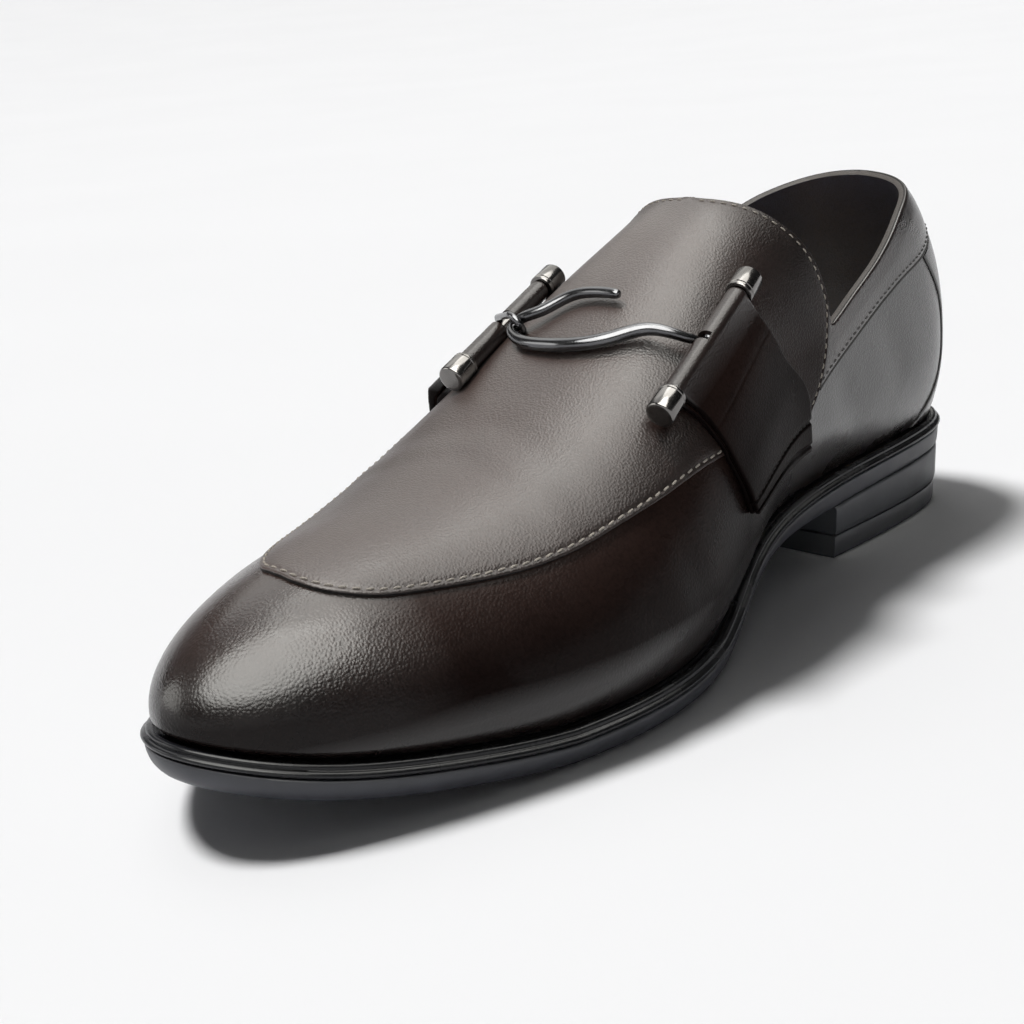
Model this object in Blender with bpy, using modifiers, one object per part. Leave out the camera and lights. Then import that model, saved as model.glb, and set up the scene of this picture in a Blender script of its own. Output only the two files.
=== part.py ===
"""Bit loafer for the right foot: moulded sole and heel, hollow leather upper,
insole, two folded straps and a hook-and-eye bit on two bars.

Frame: +Z up, toe towards -Y, medial side towards +X, the floor at z = 0.
All driving sizes below are in millimetres.

A place on the shoe is given by two numbers.  The first is the station along
the sole, 0 at the back of the heel and 1 at the tip of the toe.  The second
is the rise along a section of the last, 0 at the feather edge and 1 at the
ridge that runs over the instep.
"""
import bpy
import bmesh
import numpy as np
from math import pi, sin, cos, radians
from mathutils import Vector

MM = 0.001

# ------------------------------------------------------------ driving sizes
LENGTH = 300.0            # heel back to toe tip, along the welt
SOLE_THICKNESS = 9.5      # sole bottom to welt top
WELT_HEIGHT = 3.2         # bead strip on the sole's edge
WELT_WIDTH = 9.0
FEATHER_INSET = 4.5       # upper's lower edge, inside the welt's edge
TOE_SWING = -1.4          # toe tip towards the lateral side
WALL = 2.0                # leather and lining together
GAP = 0.3                 # between pieces that meet
INSOLE_THICKNESS = 3.0
INSOLE_INSET = 7.2
HEEL_BREAST = 82.0        # heel back to the flat front of the heel
HEEL_LIFT = 7.2           # height of the top piece that meets the floor
WIDEST_RISE = 0.2         # rise at which each section is widest
CORNER_STATION = 0.30     # where collar and tongue edge meet
TONGUE_STATION = 0.4085   # where the tongue edge crosses the ridge

ROD_RADIUS = 1.5          # bars
CAP_RADIUS = 3.7
CAP_LENGTH = 7.8
SLEEVE_RADIUS = 2.9       # strap wrapped round the rod
NOTCH_WIDTH = 6.0         # opening in the sleeve for hook and eye
STRAP_THICKNESS = 2.0
HOOK_RADIUS = 1.6
EYE_RADIUS = 0.95


def table(columns, *rows):
    """Rows of sizes under named columns."""
    return {name: np.array([row[i] for row in rows], float)
            for i, name in enumerate(columns.split())}


# Half-widths of the welt's edge, heel to toe.
OUTLINE = table(
    "station medial lateral",
    (0.00, 0.0, 0.0), (0.02, 21.5, 19.8), (0.06, 30.8, 30.0), (0.12, 33.4, 36.1),
    (0.20, 32.9, 37.6), (0.30, 30.9, 38.0), (0.40, 32.4, 40.0), (0.50, 42.6, 45.2),
    (0.60, 52.0, 51.2), (0.68, 52.7, 52.6), (0.76, 47.9, 50.0), (0.84, 39.6, 43.0),
    (0.91, 29.9, 32.8), (0.96, 20.4, 22.0), (0.985, 12.5, 13.2), (1.00, 0.0, 0.0))

# Height of the sole's underside: heel seat, arch, tread, toe spring.
UNDERSIDE = table(
    "station height",
    (0.00, 20.7), (0.10, 19.4), (0.26, 17.3), (0.36, 13.1), (0.46, 5.6), (0.56, -0.3),
    (0.64, -0.6), (0.74, -0.1), (0.84, 3.5), (0.92, 8.1), (1.00, 16.1))

# Sections of the last.  ridge_u, ridge_z and ridge_x place the ridge (distance
# from the heel back, height, sideways), widest is the height of the widest
# line over the welt, inset_* how far inside the welt's edge that line lies
# (less than 0 where the upper overhangs at the arch), power_* how full it is.
SECTIONS = table(
    "station ridge_u ridge_z ridge_x widest inset_medial inset_lateral power_medial power_lateral",
    (0.0, 48.0, 124.5, 0.0, 22.0, 0.5, 0.5, 2.6, 2.7),
    (0.1, 59.5, 126.0, 0.0, 23.0, 0.3, 0.6, 2.1, 2.6),
    (0.2, 72.0, 125.5, 0.0, 21.5, -0.4, 0.6, 2.4, 2.5),
    (0.3, 88.0, 121.0, 0.0, 22.0, -3.0, 0.8, 2.5, 2.4),
    (0.4, 107.5, 110.5, 1.0, 22.5, -4.5, 0.9, 2.3, 2.2),
    (0.5, 134.0, 99.5, 2.0, 18.5, -2.2, 0.9, 2.2, 2.1),
    (0.6, 165.0, 83.0, 2.5, 14.0, 1.5, 1.5, 2.1, 2.2),
    (0.7, 195.5, 65.8, 2.5, 9.0, 2.0, 2.0, 2.15, 2.35),
    (0.8, 223.5, 56.5, 1.8, 5.5, 2.0, 2.4, 2.1, 2.2),
    (0.9, 245.5, 53.3, 0.6, 3.5, 2.0, 2.6, 2.15, 2.15),
    (1.0, 267.5, 50.0, -0.6, 2.5, 2.4, 2.6, 2.15, 2.15))
RIDGE_END = {"ridge_u": 12.0, "ridge_z": -2.6}    # slopes at the toe, per radian of turn

# Height of the top line from the heel back to the corner by the tongue.
COLLAR = table(
    "station height",
    (0.00, 106.5), (0.06, 102.0), (0.12, 96.8), (0.20, 86.0), (0.26, 78.3), (0.30, 73.0), (0.34, 70.0))

# Free edge of the tongue, corner to ridge.
TONGUE = table(
    "station rise",
    (0.3000, 0.345), (0.3025, 0.385), (0.3080, 0.455), (0.3170, 0.528), (0.3350, 0.628),
    (0.3600, 0.755), (0.3850, 0.870), (0.4045, 0.970), (0.4085, 1.000))

# Strap edges, from the bar down to the sewn end above the sole.  rear and front are
# distances along the bar's axis from its upper end; slant is how much higher the
# strap lies at its front edge.
STRAP = table(
    "along rise slant rear front",
    (0.00, 0.630, 0.000, 8.9, 45.8),
    (0.20, 0.538, 0.000, 7.3, 46.2),
    (0.35, 0.468, 0.000, 6.0, 46.3),
    (0.50, 0.400, 0.005, 4.2, 46.3),
    (0.75, 0.280, 0.030, -0.4, 46.2),
    (0.88, 0.225, 0.055, 2.2, 46.2),
    (1.00, 0.176, 0.074, 5.5, 46.0))
STRAP_LIFT = 1.00         # clear of the upper, whose facets bow out in the hollow of the arch

# Ends of the two bars: sideways, from the heel back, height.
BAR_ENDS = {
    "medial": ((31.2, 127.0, 93.1), (38.3, 177.4, 69.3)),
    "lateral": ((-30.0, 133.0, 91.2), (-24.0, 184.0, 72.9)),
}

# Hook wire from the medial bar to its blunt tip.
HOOK = table(
    "x u z thickness",
    (31.0, 155.7, 83.1, 0.80), (27.1, 159.1, 85.1, 0.95), (21.9, 161.7, 85.5, 1.08), (16.4, 166.7, 84.0, 1.14),
    (10.2, 170.7, 82.8, 1.15), (2.2, 172.7, 82.2, 1.13), (-7.2, 172.1, 81.9, 1.06), (-13.3, 169.6, 82.4, 0.98),
    (-16.6, 166.9, 83.4, 0.92), (-16.5, 165.0, 85.0, 0.90), (-13.9, 163.9, 86.6, 0.92), (-10.4, 162.0, 87.9, 0.97),
    (-7.2, 159.4, 89.7, 0.97), (-3.6, 157.0, 91.5, 0.96), (1.0, 155.8, 92.4, 0.94), (6.1, 155.3, 92.6, 0.90),
    (10.3, 154.9, 92.3, 0.82))
EYE_AT = (-16.4, 165.4, 84.8)     # where the hook passes through the eye


# ----------------------------------------------------------------- functions
def spline(xs, ys, end=None):
    """Cubic through a table, natural at its ends or with a given end slope."""
    xs, ys = np.asarray(xs, float), np.asarray(ys, float)
    n = len(xs)
    h = np.diff(xs)
    a = np.eye(n)
    r = np.zeros(n)
    for i in range(1, n - 1):
        a[i, i - 1:i + 2] = h[i - 1], 2 * (h[i - 1] + h[i]), h[i]
        r[i] = 6 * ((ys[i + 1] - ys[i]) / h[i] - (ys[i] - ys[i - 1]) / h[i - 1])
    if end is not None:
        a[n - 1, n - 2:] = h[-1], 2 * h[-1]
        r[n - 1] = 6 * (end - (ys[-1] - ys[-2]) / h[-1])
    m = np.linalg.solve(a, r)

    def f(x):
        x = np.asarray(x, float)
        k = np.clip(np.searchsorted(xs, x) - 1, 0, n - 2)
        p, q, g = xs[k + 1] - x, x - xs[k], h[k]
        return ((m[k] * p ** 3 + m[k + 1] * q ** 3) / (6 * g)
                + (ys[k] / g - m[k] * g / 6) * p + (ys[k + 1] / g - m[k + 1] * g / 6) * q)
    return f


def turn_of(station):
    """Angle round the outline for a station: 0 heel back, pi toe tip."""
    return np.arccos(np.clip(1 - 2 * np.asarray(station, float), -1, 1))


def station_of(turn):
    return (1 - np.cos(turn)) / 2


def outline_spline():
    turns = turn_of(OUTLINE["station"])
    ts = np.concatenate([turns[:-1], 2 * pi - turns[::-1][:-1]])
    xs = np.concatenate([OUTLINE["medial"][:-1], -OUTLINE["lateral"][::-1][:-1]])
    k = 6
    f = spline(np.concatenate([ts[-k:] - 2 * pi, ts, ts[:k] + 2 * pi]),
               np.concatenate([xs[-k:], xs, xs[:k]]))
    return lambda turn: f(np.mod(turn, 2 * pi))


EDGE_X = outline_spline()
SECTION = {name: spline(turn_of(SECTIONS["station"]), SECTIONS[name], RIDGE_END.get(name))
           for name in SECTIONS if name != "station"}
UNDER = spline(UNDERSIDE["station"], UNDERSIDE["height"])
COLLAR_Z = spline(COLLAR["station"], COLLAR["height"])


def edge(turn, inset=0.0):
    """Welt edge in plan, moved in by inset: sideways and from the heel back."""
    def x_at(t):
        return EDGE_X(t) + TOE_SWING * np.clip((station_of(t) - 0.5) / 0.5, 0, 1) ** 2
    e = 1e-4
    dx = (x_at(turn + e) - x_at(turn - e)) / (2 * e)
    du = LENGTH * (station_of(turn + e) - station_of(turn - e)) / (2 * e)
    size = np.hypot(dx, du)
    return x_at(turn) - inset * du / size, LENGTH * station_of(turn) + inset * dx / size


def under_z(u):
    """Sole underside at a distance from the heel back: the tread is cut flat."""
    return np.maximum(UNDER(np.clip(u / LENGTH, 0, 1)), 0.0)


def welt_z(u):
    return under_z(u) + SOLE_THICKNESS


def by_side(turn, name):
    """Blend a medial and a lateral column round toe and heel."""
    fold = np.minimum(np.mod(turn, 2 * pi), 2 * pi - np.mod(turn, 2 * pi))
    w = 0.5 + 0.5 * np.sin(turn) / np.sqrt(np.sin(turn) ** 2 + 0.02)
    return SECTION[name + "_medial"](fold) * w + SECTION[name + "_lateral"](fold) * (1 - w)


def last(turn, rise):
    """Point on the outside of the upper: sideways, from the heel back, height."""
    turn, rise = np.broadcast_arrays(np.asarray(turn, float), np.asarray(rise, float))
    fold = np.minimum(np.mod(turn, 2 * pi), 2 * pi - np.mod(turn, 2 * pi))
    inset, power = by_side(turn, "inset"), by_side(turn, "power")
    xw, uw = edge(turn, inset)
    xf, uf = edge(turn, np.maximum(FEATHER_INSET, inset + 1.0))
    zf = welt_z(uf) + GAP
    zw = welt_z(uw) + SECTION["widest"](fold)
    xr, ur, zr = SECTION["ridge_x"](fold), SECTION["ridge_u"](fold), SECTION["ridge_z"](fold)
    f0, f1 = np.clip(fold - 0.02, 0, pi), np.clip(fold + 0.02, 0, pi)
    slope = ((SECTION["ridge_z"](f1) - SECTION["ridge_z"](f0))
             / np.maximum(SECTION["ridge_u"](f1) - SECTION["ridge_u"](f0), 1e-3))
    low = np.clip(rise / WIDEST_RISE, 0, 1)
    angle = np.clip((rise - WIDEST_RISE) / (1 - WIDEST_RISE), 0, 1) * pi / 2
    c = np.clip(np.cos(angle), 1e-9, 1) ** (2 / power)
    s = np.clip(np.sin(angle), 0, 1) ** (2 / power)
    under = rise < WIDEST_RISE
    x = np.where(under, xw + (xf - xw) * (1 - low) ** 2, xr + (xw - xr) * c)
    u = np.where(under, uw + (uf - uw) * (1 - low) ** 2, ur + (uw - ur) * c)
    z = np.where(under, zf + (zw - zf) * low, zw + (zr - zw + slope * (u - ur)) * s)
    return x, u, z


def skin(turn, rise, lift):
    """Point at a height over the outside of the upper, along its normal."""
    e = 1e-3
    p = np.array(last(turn, rise))
    d_turn = np.array(last(turn + e, rise)) - np.array(last(turn - e, rise))
    d_rise = np.array(last(turn, rise + e)) - np.array(last(turn, rise - e))
    # plan axes are (sideways, from heel back, up): left-handed, so the order is swapped
    n = np.cross(d_turn, d_rise, axis=0)
    return p + lift * n / np.linalg.norm(n, axis=0)


def top_edge(turn):
    """Rise at which the upper ends: collar, tongue edge or ridge."""
    fold = min(turn % (2 * pi), 2 * pi - turn % (2 * pi))
    st = station_of(fold)
    if st >= TONGUE_STATION:
        return 1.0
    if st >= CORNER_STATION:
        return float(np.interp(st, TONGUE["station"], TONGUE["rise"]))
    lo, hi = WIDEST_RISE, 0.95
    for _ in range(40):
        mid = (lo + hi) / 2
        if last(turn, mid)[2] < COLLAR_Z(st):
            lo = mid
        else:
            hi = mid
    return lo


# Stations of the sections: even round the heel, along the tongue edge, to the toe.
def ring_turns():
    rear = np.linspace(0, turn_of(CORNER_STATION), 14)
    throat = turn_of(np.interp(np.linspace(TONGUE["rise"][0], 1.0, 9)[1:], TONGUE["rise"], TONGUE["station"]))
    front = np.linspace(turn_of(TONGUE_STATION), pi, 23)[1:]
    half = np.concatenate([rear, throat, front])
    return half, np.concatenate([half, 2 * pi - half[-2:0:-1]])


HALF, RING = ring_turns()
_x, _u = edge(np.linspace(0, 2 * pi, 721))
X_CENTRE = (_x.max() + _x.min()) / 2


def place(x, u, z):
    """Shoe sizes to the part's frame, in metres."""
    return (float(x - X_CENTRE) * MM, float(LENGTH / 2 - u) * MM, float(z) * MM)


# ------------------------------------------------------------- scene helpers
for old in list(bpy.data.objects):
    bpy.data.objects.remove(old, do_unlink=True)

PARTS = bpy.data.collections.new("bit_loafer")
CUTTERS = bpy.data.collections.new("bit_loafer_cutters")
bpy.context.scene.collection.children.link(PARTS)
bpy.context.scene.collection.children.link(CUTTERS)


def finish(name, colour, roughness, metallic=0.0):
    m = bpy.data.materials.new(name)
    m.use_nodes = True
    b = m.node_tree.nodes["Principled BSDF"]
    b.inputs["Base Color"].default_value = (*colour, 1.0)
    b.inputs["Roughness"].default_value = roughness
    b.inputs["Metallic"].default_value = metallic
    return m


LEATHER = finish("dark_brown_leather", (0.045, 0.026, 0.020), 0.38)
STRAP_LEATHER = finish("strap_leather", (0.038, 0.022, 0.018), 0.40)
RUBBER = finish("black_rubber", (0.012, 0.012, 0.014), 0.50)
HEEL_RUBBER = finish("heel_rubber", (0.012, 0.012, 0.014), 0.55)
FOOTBED = finish("mustard_leather", (0.55, 0.32, 0.07), 0.60)
GUNMETAL = finish("gunmetal", (0.12, 0.115, 0.11), 0.22, 1.0)


def add_mesh(name, bm, material, collection=None):
    me = bpy.data.meshes.new(name)
    bm.to_mesh(me)
    bm.free()
    me.materials.append(material)
    me.shade_smooth()
    me.set_sharp_from_angle(angle=radians(35))
    ob = bpy.data.objects.new(name, me)
    (collection or PARTS).objects.link(ob)
    return ob


def loft(name, sections, material, closed_ring=False, ladder=False):
    """Solid through sections of equal point count; ends capped across or as a ring."""
    bm = bmesh.new()
    rows = [[bm.verts.new(p) for p in sec] for sec in sections]
    count = len(rows[0])
    spans = len(rows) if closed_ring else len(rows) - 1
    for i in range(spans):
        a, b = rows[i], rows[(i + 1) % len(rows)]
        for j in range(count):
            k = (j + 1) % count
            bm.faces.new((a[j], a[k], b[k], b[j]))
    if not closed_ring:
        for row in (rows[0], rows[-1]):
            if ladder:
                for j in range(count // 2):
                    quad = [row[j], row[j + 1], row[-j - 1], row[-j % count]]
                    quad = list(dict.fromkeys(quad))
                    if len(quad) > 2:
                        bm.faces.new(quad)
            else:
                bm.faces.new(row)
    bmesh.ops.triangulate(bm, faces=[f for f in bm.faces if len(f.verts) > 4])
    bmesh.ops.recalc_face_normals(bm, faces=bm.faces)
    return add_mesh(name, bm, material)


def plan_ring(inset, height, turns=None):
    """One closed level of points round the sole."""
    out = []
    for t in (RING if turns is None else turns):
        x, u = edge(t, inset)
        out.append(place(x, u, height(u)))
    return out


# --------------------------------------------------------------------- sole
def heel_share(u):
    """1 over the heel, 0 from the arch forwards."""
    return float(np.clip((0.36 - u / LENGTH) / 0.08, 0, 1))


def outsole_ring(inset, inset_heel, height):
    out = []
    for t in RING:
        k = heel_share(LENGTH * station_of(t))
        x, u = edge(t, inset * (1 - k) + inset_heel * k)
        out.append(place(x, u, height(u)))
    return out


LEDGE = WELT_HEIGHT + GAP
loft("outsole", [
    outsole_ring(4.6, 2.2, under_z),
    outsole_ring(2.3, 1.2, lambda u: under_z(u) + 0.8 * (1 - heel_share(u)) + 0.2),
    outsole_ring(0.9, 0.8, lambda u: under_z(u) + 2.6 - 1.4 * heel_share(u)),
    outsole_ring(0.5, 0.6, lambda u: welt_z(u) - LEDGE - 0.5),
    outsole_ring(1.0, 1.0, lambda u: welt_z(u) - LEDGE),
    outsole_ring(WELT_WIDTH + GAP, WELT_WIDTH + GAP, lambda u: welt_z(u) - LEDGE),
    outsole_ring(WELT_WIDTH + GAP, WELT_WIDTH + GAP, welt_z),
], RUBBER, ladder=True)

# Bead strip: a rounded outer edge and a flat top for the upper to stand on.
WELT_PROFILE = table(
    "inset drop",
    (WELT_WIDTH, WELT_HEIGHT), (WELT_WIDTH, 0.0), (1.5, 0.0), (0.5, 0.45), (0.0, 1.5), (0.5, 2.7), (1.5, WELT_HEIGHT))


def welt_section(turn):
    points = [edge(turn, i) for i in WELT_PROFILE["inset"]]
    return [place(x, u, welt_z(u) - d) for (x, u), d in zip(points, WELT_PROFILE["drop"])]


loft("welt", [welt_section(t) for t in RING], RUBBER, closed_ring=True)


def heel_turns():
    """Turns round the heel, ending on the breast line at both sides."""
    end = float(turn_of(HEEL_BREAST / LENGTH))
    half = np.linspace(0, end, 15)
    return np.concatenate([half, 2 * pi - half[::-1][:-1]])


def heel_level(inset, height):
    """Level of the heel: round the back, cut square at the breast."""
    ring = []
    for t in heel_turns():
        x, u = edge(t, inset)
        ring.append([x, min(u, HEEL_BREAST)])
    n = len(ring) // 2
    for k in (n, n + 1):                          # breast corners exactly on the line
        ring[k][1] = HEEL_BREAST
    return [place(x, u, height(u)) for x, u in ring]


loft("heel_block", [
    heel_level(2.2, lambda u: HEEL_LIFT + GAP),
    heel_level(1.6, lambda u: HEEL_LIFT + GAP + 0.7),
    heel_level(1.1, lambda u: under_z(u) - GAP - 0.7),
    heel_level(1.7, lambda u: under_z(u) - GAP),
], HEEL_RUBBER, ladder=True)
loft("heel_top_piece", [
    heel_level(3.0, lambda u: 0.0),
    heel_level(2.1, lambda u: 0.9),
    heel_level(1.7, lambda u: HEEL_LIFT - 0.7),
    heel_level(2.3, lambda u: HEEL_LIFT),
], HEEL_RUBBER, ladder=True)

loft("insole", [
    plan_ring(INSOLE_INSET, lambda u: welt_z(u) + GAP),
    plan_ring(INSOLE_INSET, lambda u: welt_z(u) + GAP + INSOLE_THICKNESS - 0.8),
    plan_ring(INSOLE_INSET + 0.8, lambda u: welt_z(u) + GAP + INSOLE_THICKNESS),
], FOOTBED, ladder=True)

# -------------------------------------------------------------------- upper
ROWS = np.concatenate([np.linspace(0, 0.2, 4)[:-1], np.linspace(0.2, 0.8, 8)[:-1], np.linspace(0.8, 1.0, 4)])


def make_upper():
    """Open surface from feather edge to collar, tongue edge and ridge, then its wall."""
    bm = bmesh.new()
    grid = []
    for t in RING:
        end = top_edge(t)
        x, u, z = last(np.full(len(ROWS), t), ROWS * end)
        grid.append([bm.verts.new(place(*p)) for p in zip(x, u, z)])
    for i in range(len(RING)):
        a, b = grid[i], grid[(i + 1) % len(RING)]
        for j in range(len(ROWS) - 1):
            bm.faces.new((a[j], a[j + 1], b[j + 1], b[j]))
    bmesh.ops.remove_doubles(bm, verts=bm.verts, dist=0.00002)
    bmesh.ops.recalc_face_normals(bm, faces=bm.faces)
    ob = add_mesh("upper", bm, LEATHER)
    top = max(ob.data.polygons, key=lambda p: p.center.z - 10 * abs(p.center.y + 0.06))
    if top.normal.z < 0:
        ob.data.flip_normals()
    wall = ob.modifiers.new("wall", "SOLIDIFY")
    wall.thickness = WALL * MM
    wall.offset = -1.0
    wall.use_quality_normals = True
    return ob


make_upper()


# ----------------------------------------------------------------- bit bars
def bar_frame(side):
    """Two ends and the unit axis of a bar, in the part's frame (metres)."""
    a, b = (Vector(place(*p)) for p in BAR_ENDS[side])
    return a, b, (b - a).normalized()


def make_bar(side):
    """Turned bar: two flat-ended caps joined by a thin rod."""
    a, b, axis = bar_frame(side)
    half = (b - a).length / 2
    cap, rod, end = CAP_RADIUS * MM, ROD_RADIUS * MM, CAP_LENGTH * MM
    profile = [(0, half), (cap - 0.0006, half), (cap, half - 0.0006), (cap, half - end + 0.0004),
               (cap - 0.0004, half - end), (rod, half - end)]
    profile = profile + [(r, -h) for r, h in reversed(profile)]
    bm = bmesh.new()
    points = [bm.verts.new((r, 0, h)) for r, h in profile]
    for p, q in zip(points, points[1:]):
        bm.edges.new((p, q))
    ob = add_mesh("bar_" + side, bm, GUNMETAL)
    turn = ob.modifiers.new("turn", "SCREW")
    turn.steps = turn.render_steps = 16
    turn.use_merge_vertices = True
    turn.merge_threshold = 0.00001
    ob.location = (a + b) / 2
    ob.rotation_mode = "QUATERNION"
    ob.rotation_quaternion = axis.to_track_quat("Z", "Y")
    return ob


# ------------------------------------------------------------------- straps
def turn_at(side, rise, reach):
    """Turn at which the upper lies a given distance along the side's bar."""
    a, b, axis = bar_frame(side)
    lo, hi = float(turn_of(0.2)), float(turn_of(0.8))
    for _ in range(40):
        mid = (lo + hi) / 2
        p = Vector(place(*last(mid if side == "medial" else 2 * pi - mid, rise)))
        if (p - a).dot(axis) < reach * MM:
            lo = mid
        else:
            hi = mid
    return lo if side == "medial" else 2 * pi - lo


def strap_section(side, across):
    """Closed profile of the strap at one place across its width: the flat part
    follows the upper, its head is bent round the rod like a hook."""
    sign = 1 if side == "medial" else -1
    a, b, axis = bar_frame(side)
    inner = CAP_LENGTH * MM + GAP * MM
    centre = a + axis * (inner + ((b - a).length - 2 * inner) * across)
    along = np.linspace(1.0, 0.17, 7)

    def level(lift):
        pts = []
        for w in along:
            rise, slant, rear, front = (np.interp(w, STRAP["along"], STRAP[k]) for k in ("rise", "slant", "rear", "front"))
            rise = rise + slant * across
            t = turn_at(side, rise, rear * (1 - across) + front * across)
            pts.append(Vector(place(*skin(t, rise, lift))))
        return pts
    outer, inside = level(STRAP_LIFT + STRAP_THICKNESS), level(STRAP_LIFT)
    # axes of the head: down the strap and away from the upper, square to the bar
    down = outer[-1] - centre
    down = (down - axis * down.dot(axis)).normalized()
    lift = axis.cross(down) if sign < 0 else down.cross(axis)
    if lift.z < 0:
        lift = -lift
    ro, ri = SLEEVE_RADIUS * MM, (ROD_RADIUS + GAP) * MM

    def arc(radius, start, stop, count):
        return [centre + (down * cos(radians(g)) + lift * sin(radians(g))) * radius
                for g in np.linspace(start, stop, count)]
    # bore runs from the crotch clockwise round the rod, the outside comes back
    bore = arc(ri, -50, -318, 10)
    back = arc(ro, -318, -75, 10)
    return outer + bore + back + inside[::-1]


def make_strap(side):
    ob = loft("strap_" + side, [strap_section(side, w) for w in np.linspace(0, 1, 9)], STRAP_LEATHER)
    a, b, axis = bar_frame(side)
    bpy.ops.mesh.primitive_cube_add(size=1.0, location=(a + b) / 2)
    cutter = bpy.context.active_object
    cutter.name = "notch_" + side
    cutter.scale = (0.0130, 0.0104, NOTCH_WIDTH * MM)
    cutter.rotation_mode = "QUATERNION"
    cutter.rotation_quaternion = axis.to_track_quat("Z", "Y")
    for c in list(cutter.users_collection):
        c.objects.unlink(cutter)
    CUTTERS.objects.link(cutter)
    cutter.hide_render = True
    cutter.display_type = "WIRE"
    cut = ob.modifiers.new("notch", "BOOLEAN")
    cut.operation = "DIFFERENCE"
    cut.solver = "EXACT"
    cut.object = cutter
    return ob


for _side in ("medial", "lateral"):
    make_bar(_side)
    make_strap(_side)


# ------------------------------------------------------------- hook and eye
def wire(name, points, radius, scales=None, cyclic=False):
    """Round wire along points, in metres."""
    cu = bpy.data.curves.new(name, "CURVE")
    cu.dimensions = "3D"
    cu.bevel_depth = radius * MM
    cu.bevel_resolution = 2
    cu.use_fill_caps = not cyclic
    sp = cu.splines.new("POLY")
    sp.points.add(len(points) - 1)
    for i, p in enumerate(points):
        sp.points[i].co = (*p, 1.0)
        sp.points[i].radius = 1.0 if scales is None else scales[i]
    sp.use_cyclic_u = cyclic
    cu.materials.append(GUNMETAL)
    ob = bpy.data.objects.new(name, cu)
    PARTS.objects.link(ob)
    return ob


def make_hook():
    """Wire bent round the medial rod, then in an S over the instep to its tip."""
    a, b, axis = bar_frame("medial")
    centre = (a + b) / 2
    ring = (ROD_RADIUS + GAP + 0.8 * HOOK_RADIUS + 0.05) * MM
    first = Vector(place(*(HOOK[k][0] for k in ("x", "u", "z"))))
    out = first - centre
    out = (out - axis * out.dot(axis)).normalized()
    side = axis.cross(out)
    if side.z > 0:
        side = -side
    # the ring starts over the rod, passes behind it and leaves from under it
    turns = [radians(g) for g in np.linspace(-80, -290, 9)]
    loop = [centre + (out * cos(g) + side * sin(g)) * ring for g in turns]
    steps = np.linspace(0, 1, len(HOOK["x"]))
    fine = np.linspace(0, 1, 40)
    path = np.array([spline(steps, HOOK[k])(fine) for k in ("x", "u", "z")]).T
    thick = spline(steps, HOOK["thickness"])(fine)
    points = loop + [Vector(place(*p)) for p in path]
    scales = [0.80] * len(loop) + list(thick)
    return wire("hook", points, HOOK_RADIUS, scales)


def make_eye():
    """Oblong link round the lateral rod and the hook."""
    a, b, axis = bar_frame("lateral")
    rod = (a + b) / 2
    caught = Vector(place(*EYE_AT))
    run = (caught - rod).normalized()
    wide = axis.cross(run).normalized() * (ROD_RADIUS + GAP + EYE_RADIUS + 0.05) * MM
    reach = run * wide.length
    points = []
    for g in np.linspace(-90, 90, 9):
        points.append(caught + wide * sin(radians(g)) + reach * cos(radians(g)) * 1.0)
    for g in np.linspace(90, 270, 9):
        points.append(rod + wide * sin(radians(g)) + reach * cos(radians(g)) * 1.0)
    return wire("eye", points, EYE_RADIUS, cyclic=True)


make_hook()
make_eye()
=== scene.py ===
"""Looks of the bit loafer: leather panels with real edges, stitching, folded
straps, rubber welt and sole, metal bit, floor, light and camera.

Sizes are in millimetres in the shoe's own measures: sideways (medial +), distance
from the heel back, height.  place() turns them into the frame, in metres.  A place
on the upper is a station along the sole (0 heel back, 1 toe tip) and a rise over
the section (0 feather edge, 1 ridge of the instep).
"""
from math import pi, sin, cos, radians

import bpy
import numpy as np
from mathutils import Matrix, Vector, kdtree


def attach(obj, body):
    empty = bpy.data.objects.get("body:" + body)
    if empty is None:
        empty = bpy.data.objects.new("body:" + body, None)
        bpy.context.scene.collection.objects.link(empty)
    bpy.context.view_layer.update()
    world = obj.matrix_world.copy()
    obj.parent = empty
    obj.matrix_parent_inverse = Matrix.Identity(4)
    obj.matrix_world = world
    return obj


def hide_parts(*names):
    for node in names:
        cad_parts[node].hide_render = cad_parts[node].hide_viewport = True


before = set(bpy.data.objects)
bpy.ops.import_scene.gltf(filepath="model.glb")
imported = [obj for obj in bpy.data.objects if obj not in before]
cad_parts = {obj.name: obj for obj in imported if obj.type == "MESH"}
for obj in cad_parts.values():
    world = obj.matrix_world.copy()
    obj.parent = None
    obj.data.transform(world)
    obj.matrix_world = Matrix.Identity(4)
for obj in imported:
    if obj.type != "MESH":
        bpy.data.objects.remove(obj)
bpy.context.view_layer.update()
MM = 0.001

# ------------------------------------------------------------ driving sizes
LENGTH = 300.0
SOLE_THICKNESS = 9.5
WELT_HEIGHT = 3.2
WELT_WIDTH = 9.0
FEATHER_INSET = 4.5
TOE_SWING = -1.4
WALL = 2.0
GAP = 0.3
INSOLE_THICKNESS = 3.0
INSOLE_INSET = 7.2
HEEL_BREAST = 82.0
HEEL_LIFT = 7.2
WIDEST_RISE = 0.2
CORNER_STATION = 0.30
TONGUE_STATION = 0.4085
ROD_RADIUS = 1.5
CAP_RADIUS = 3.7
CAP_LENGTH = 7.8
SLEEVE_RADIUS = 2.9
NOTCH_WIDTH = 6.0
HOOK_RADIUS = 1.6
EYE_RADIUS = 0.95
STRAP_TOP = 3.0           # outside of the strap over the upper


def table(columns, *rows):
    """Rows of sizes under named columns."""
    return {name: np.array([row[i] for row in rows], float)
            for i, name in enumerate(columns.split())}


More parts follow.
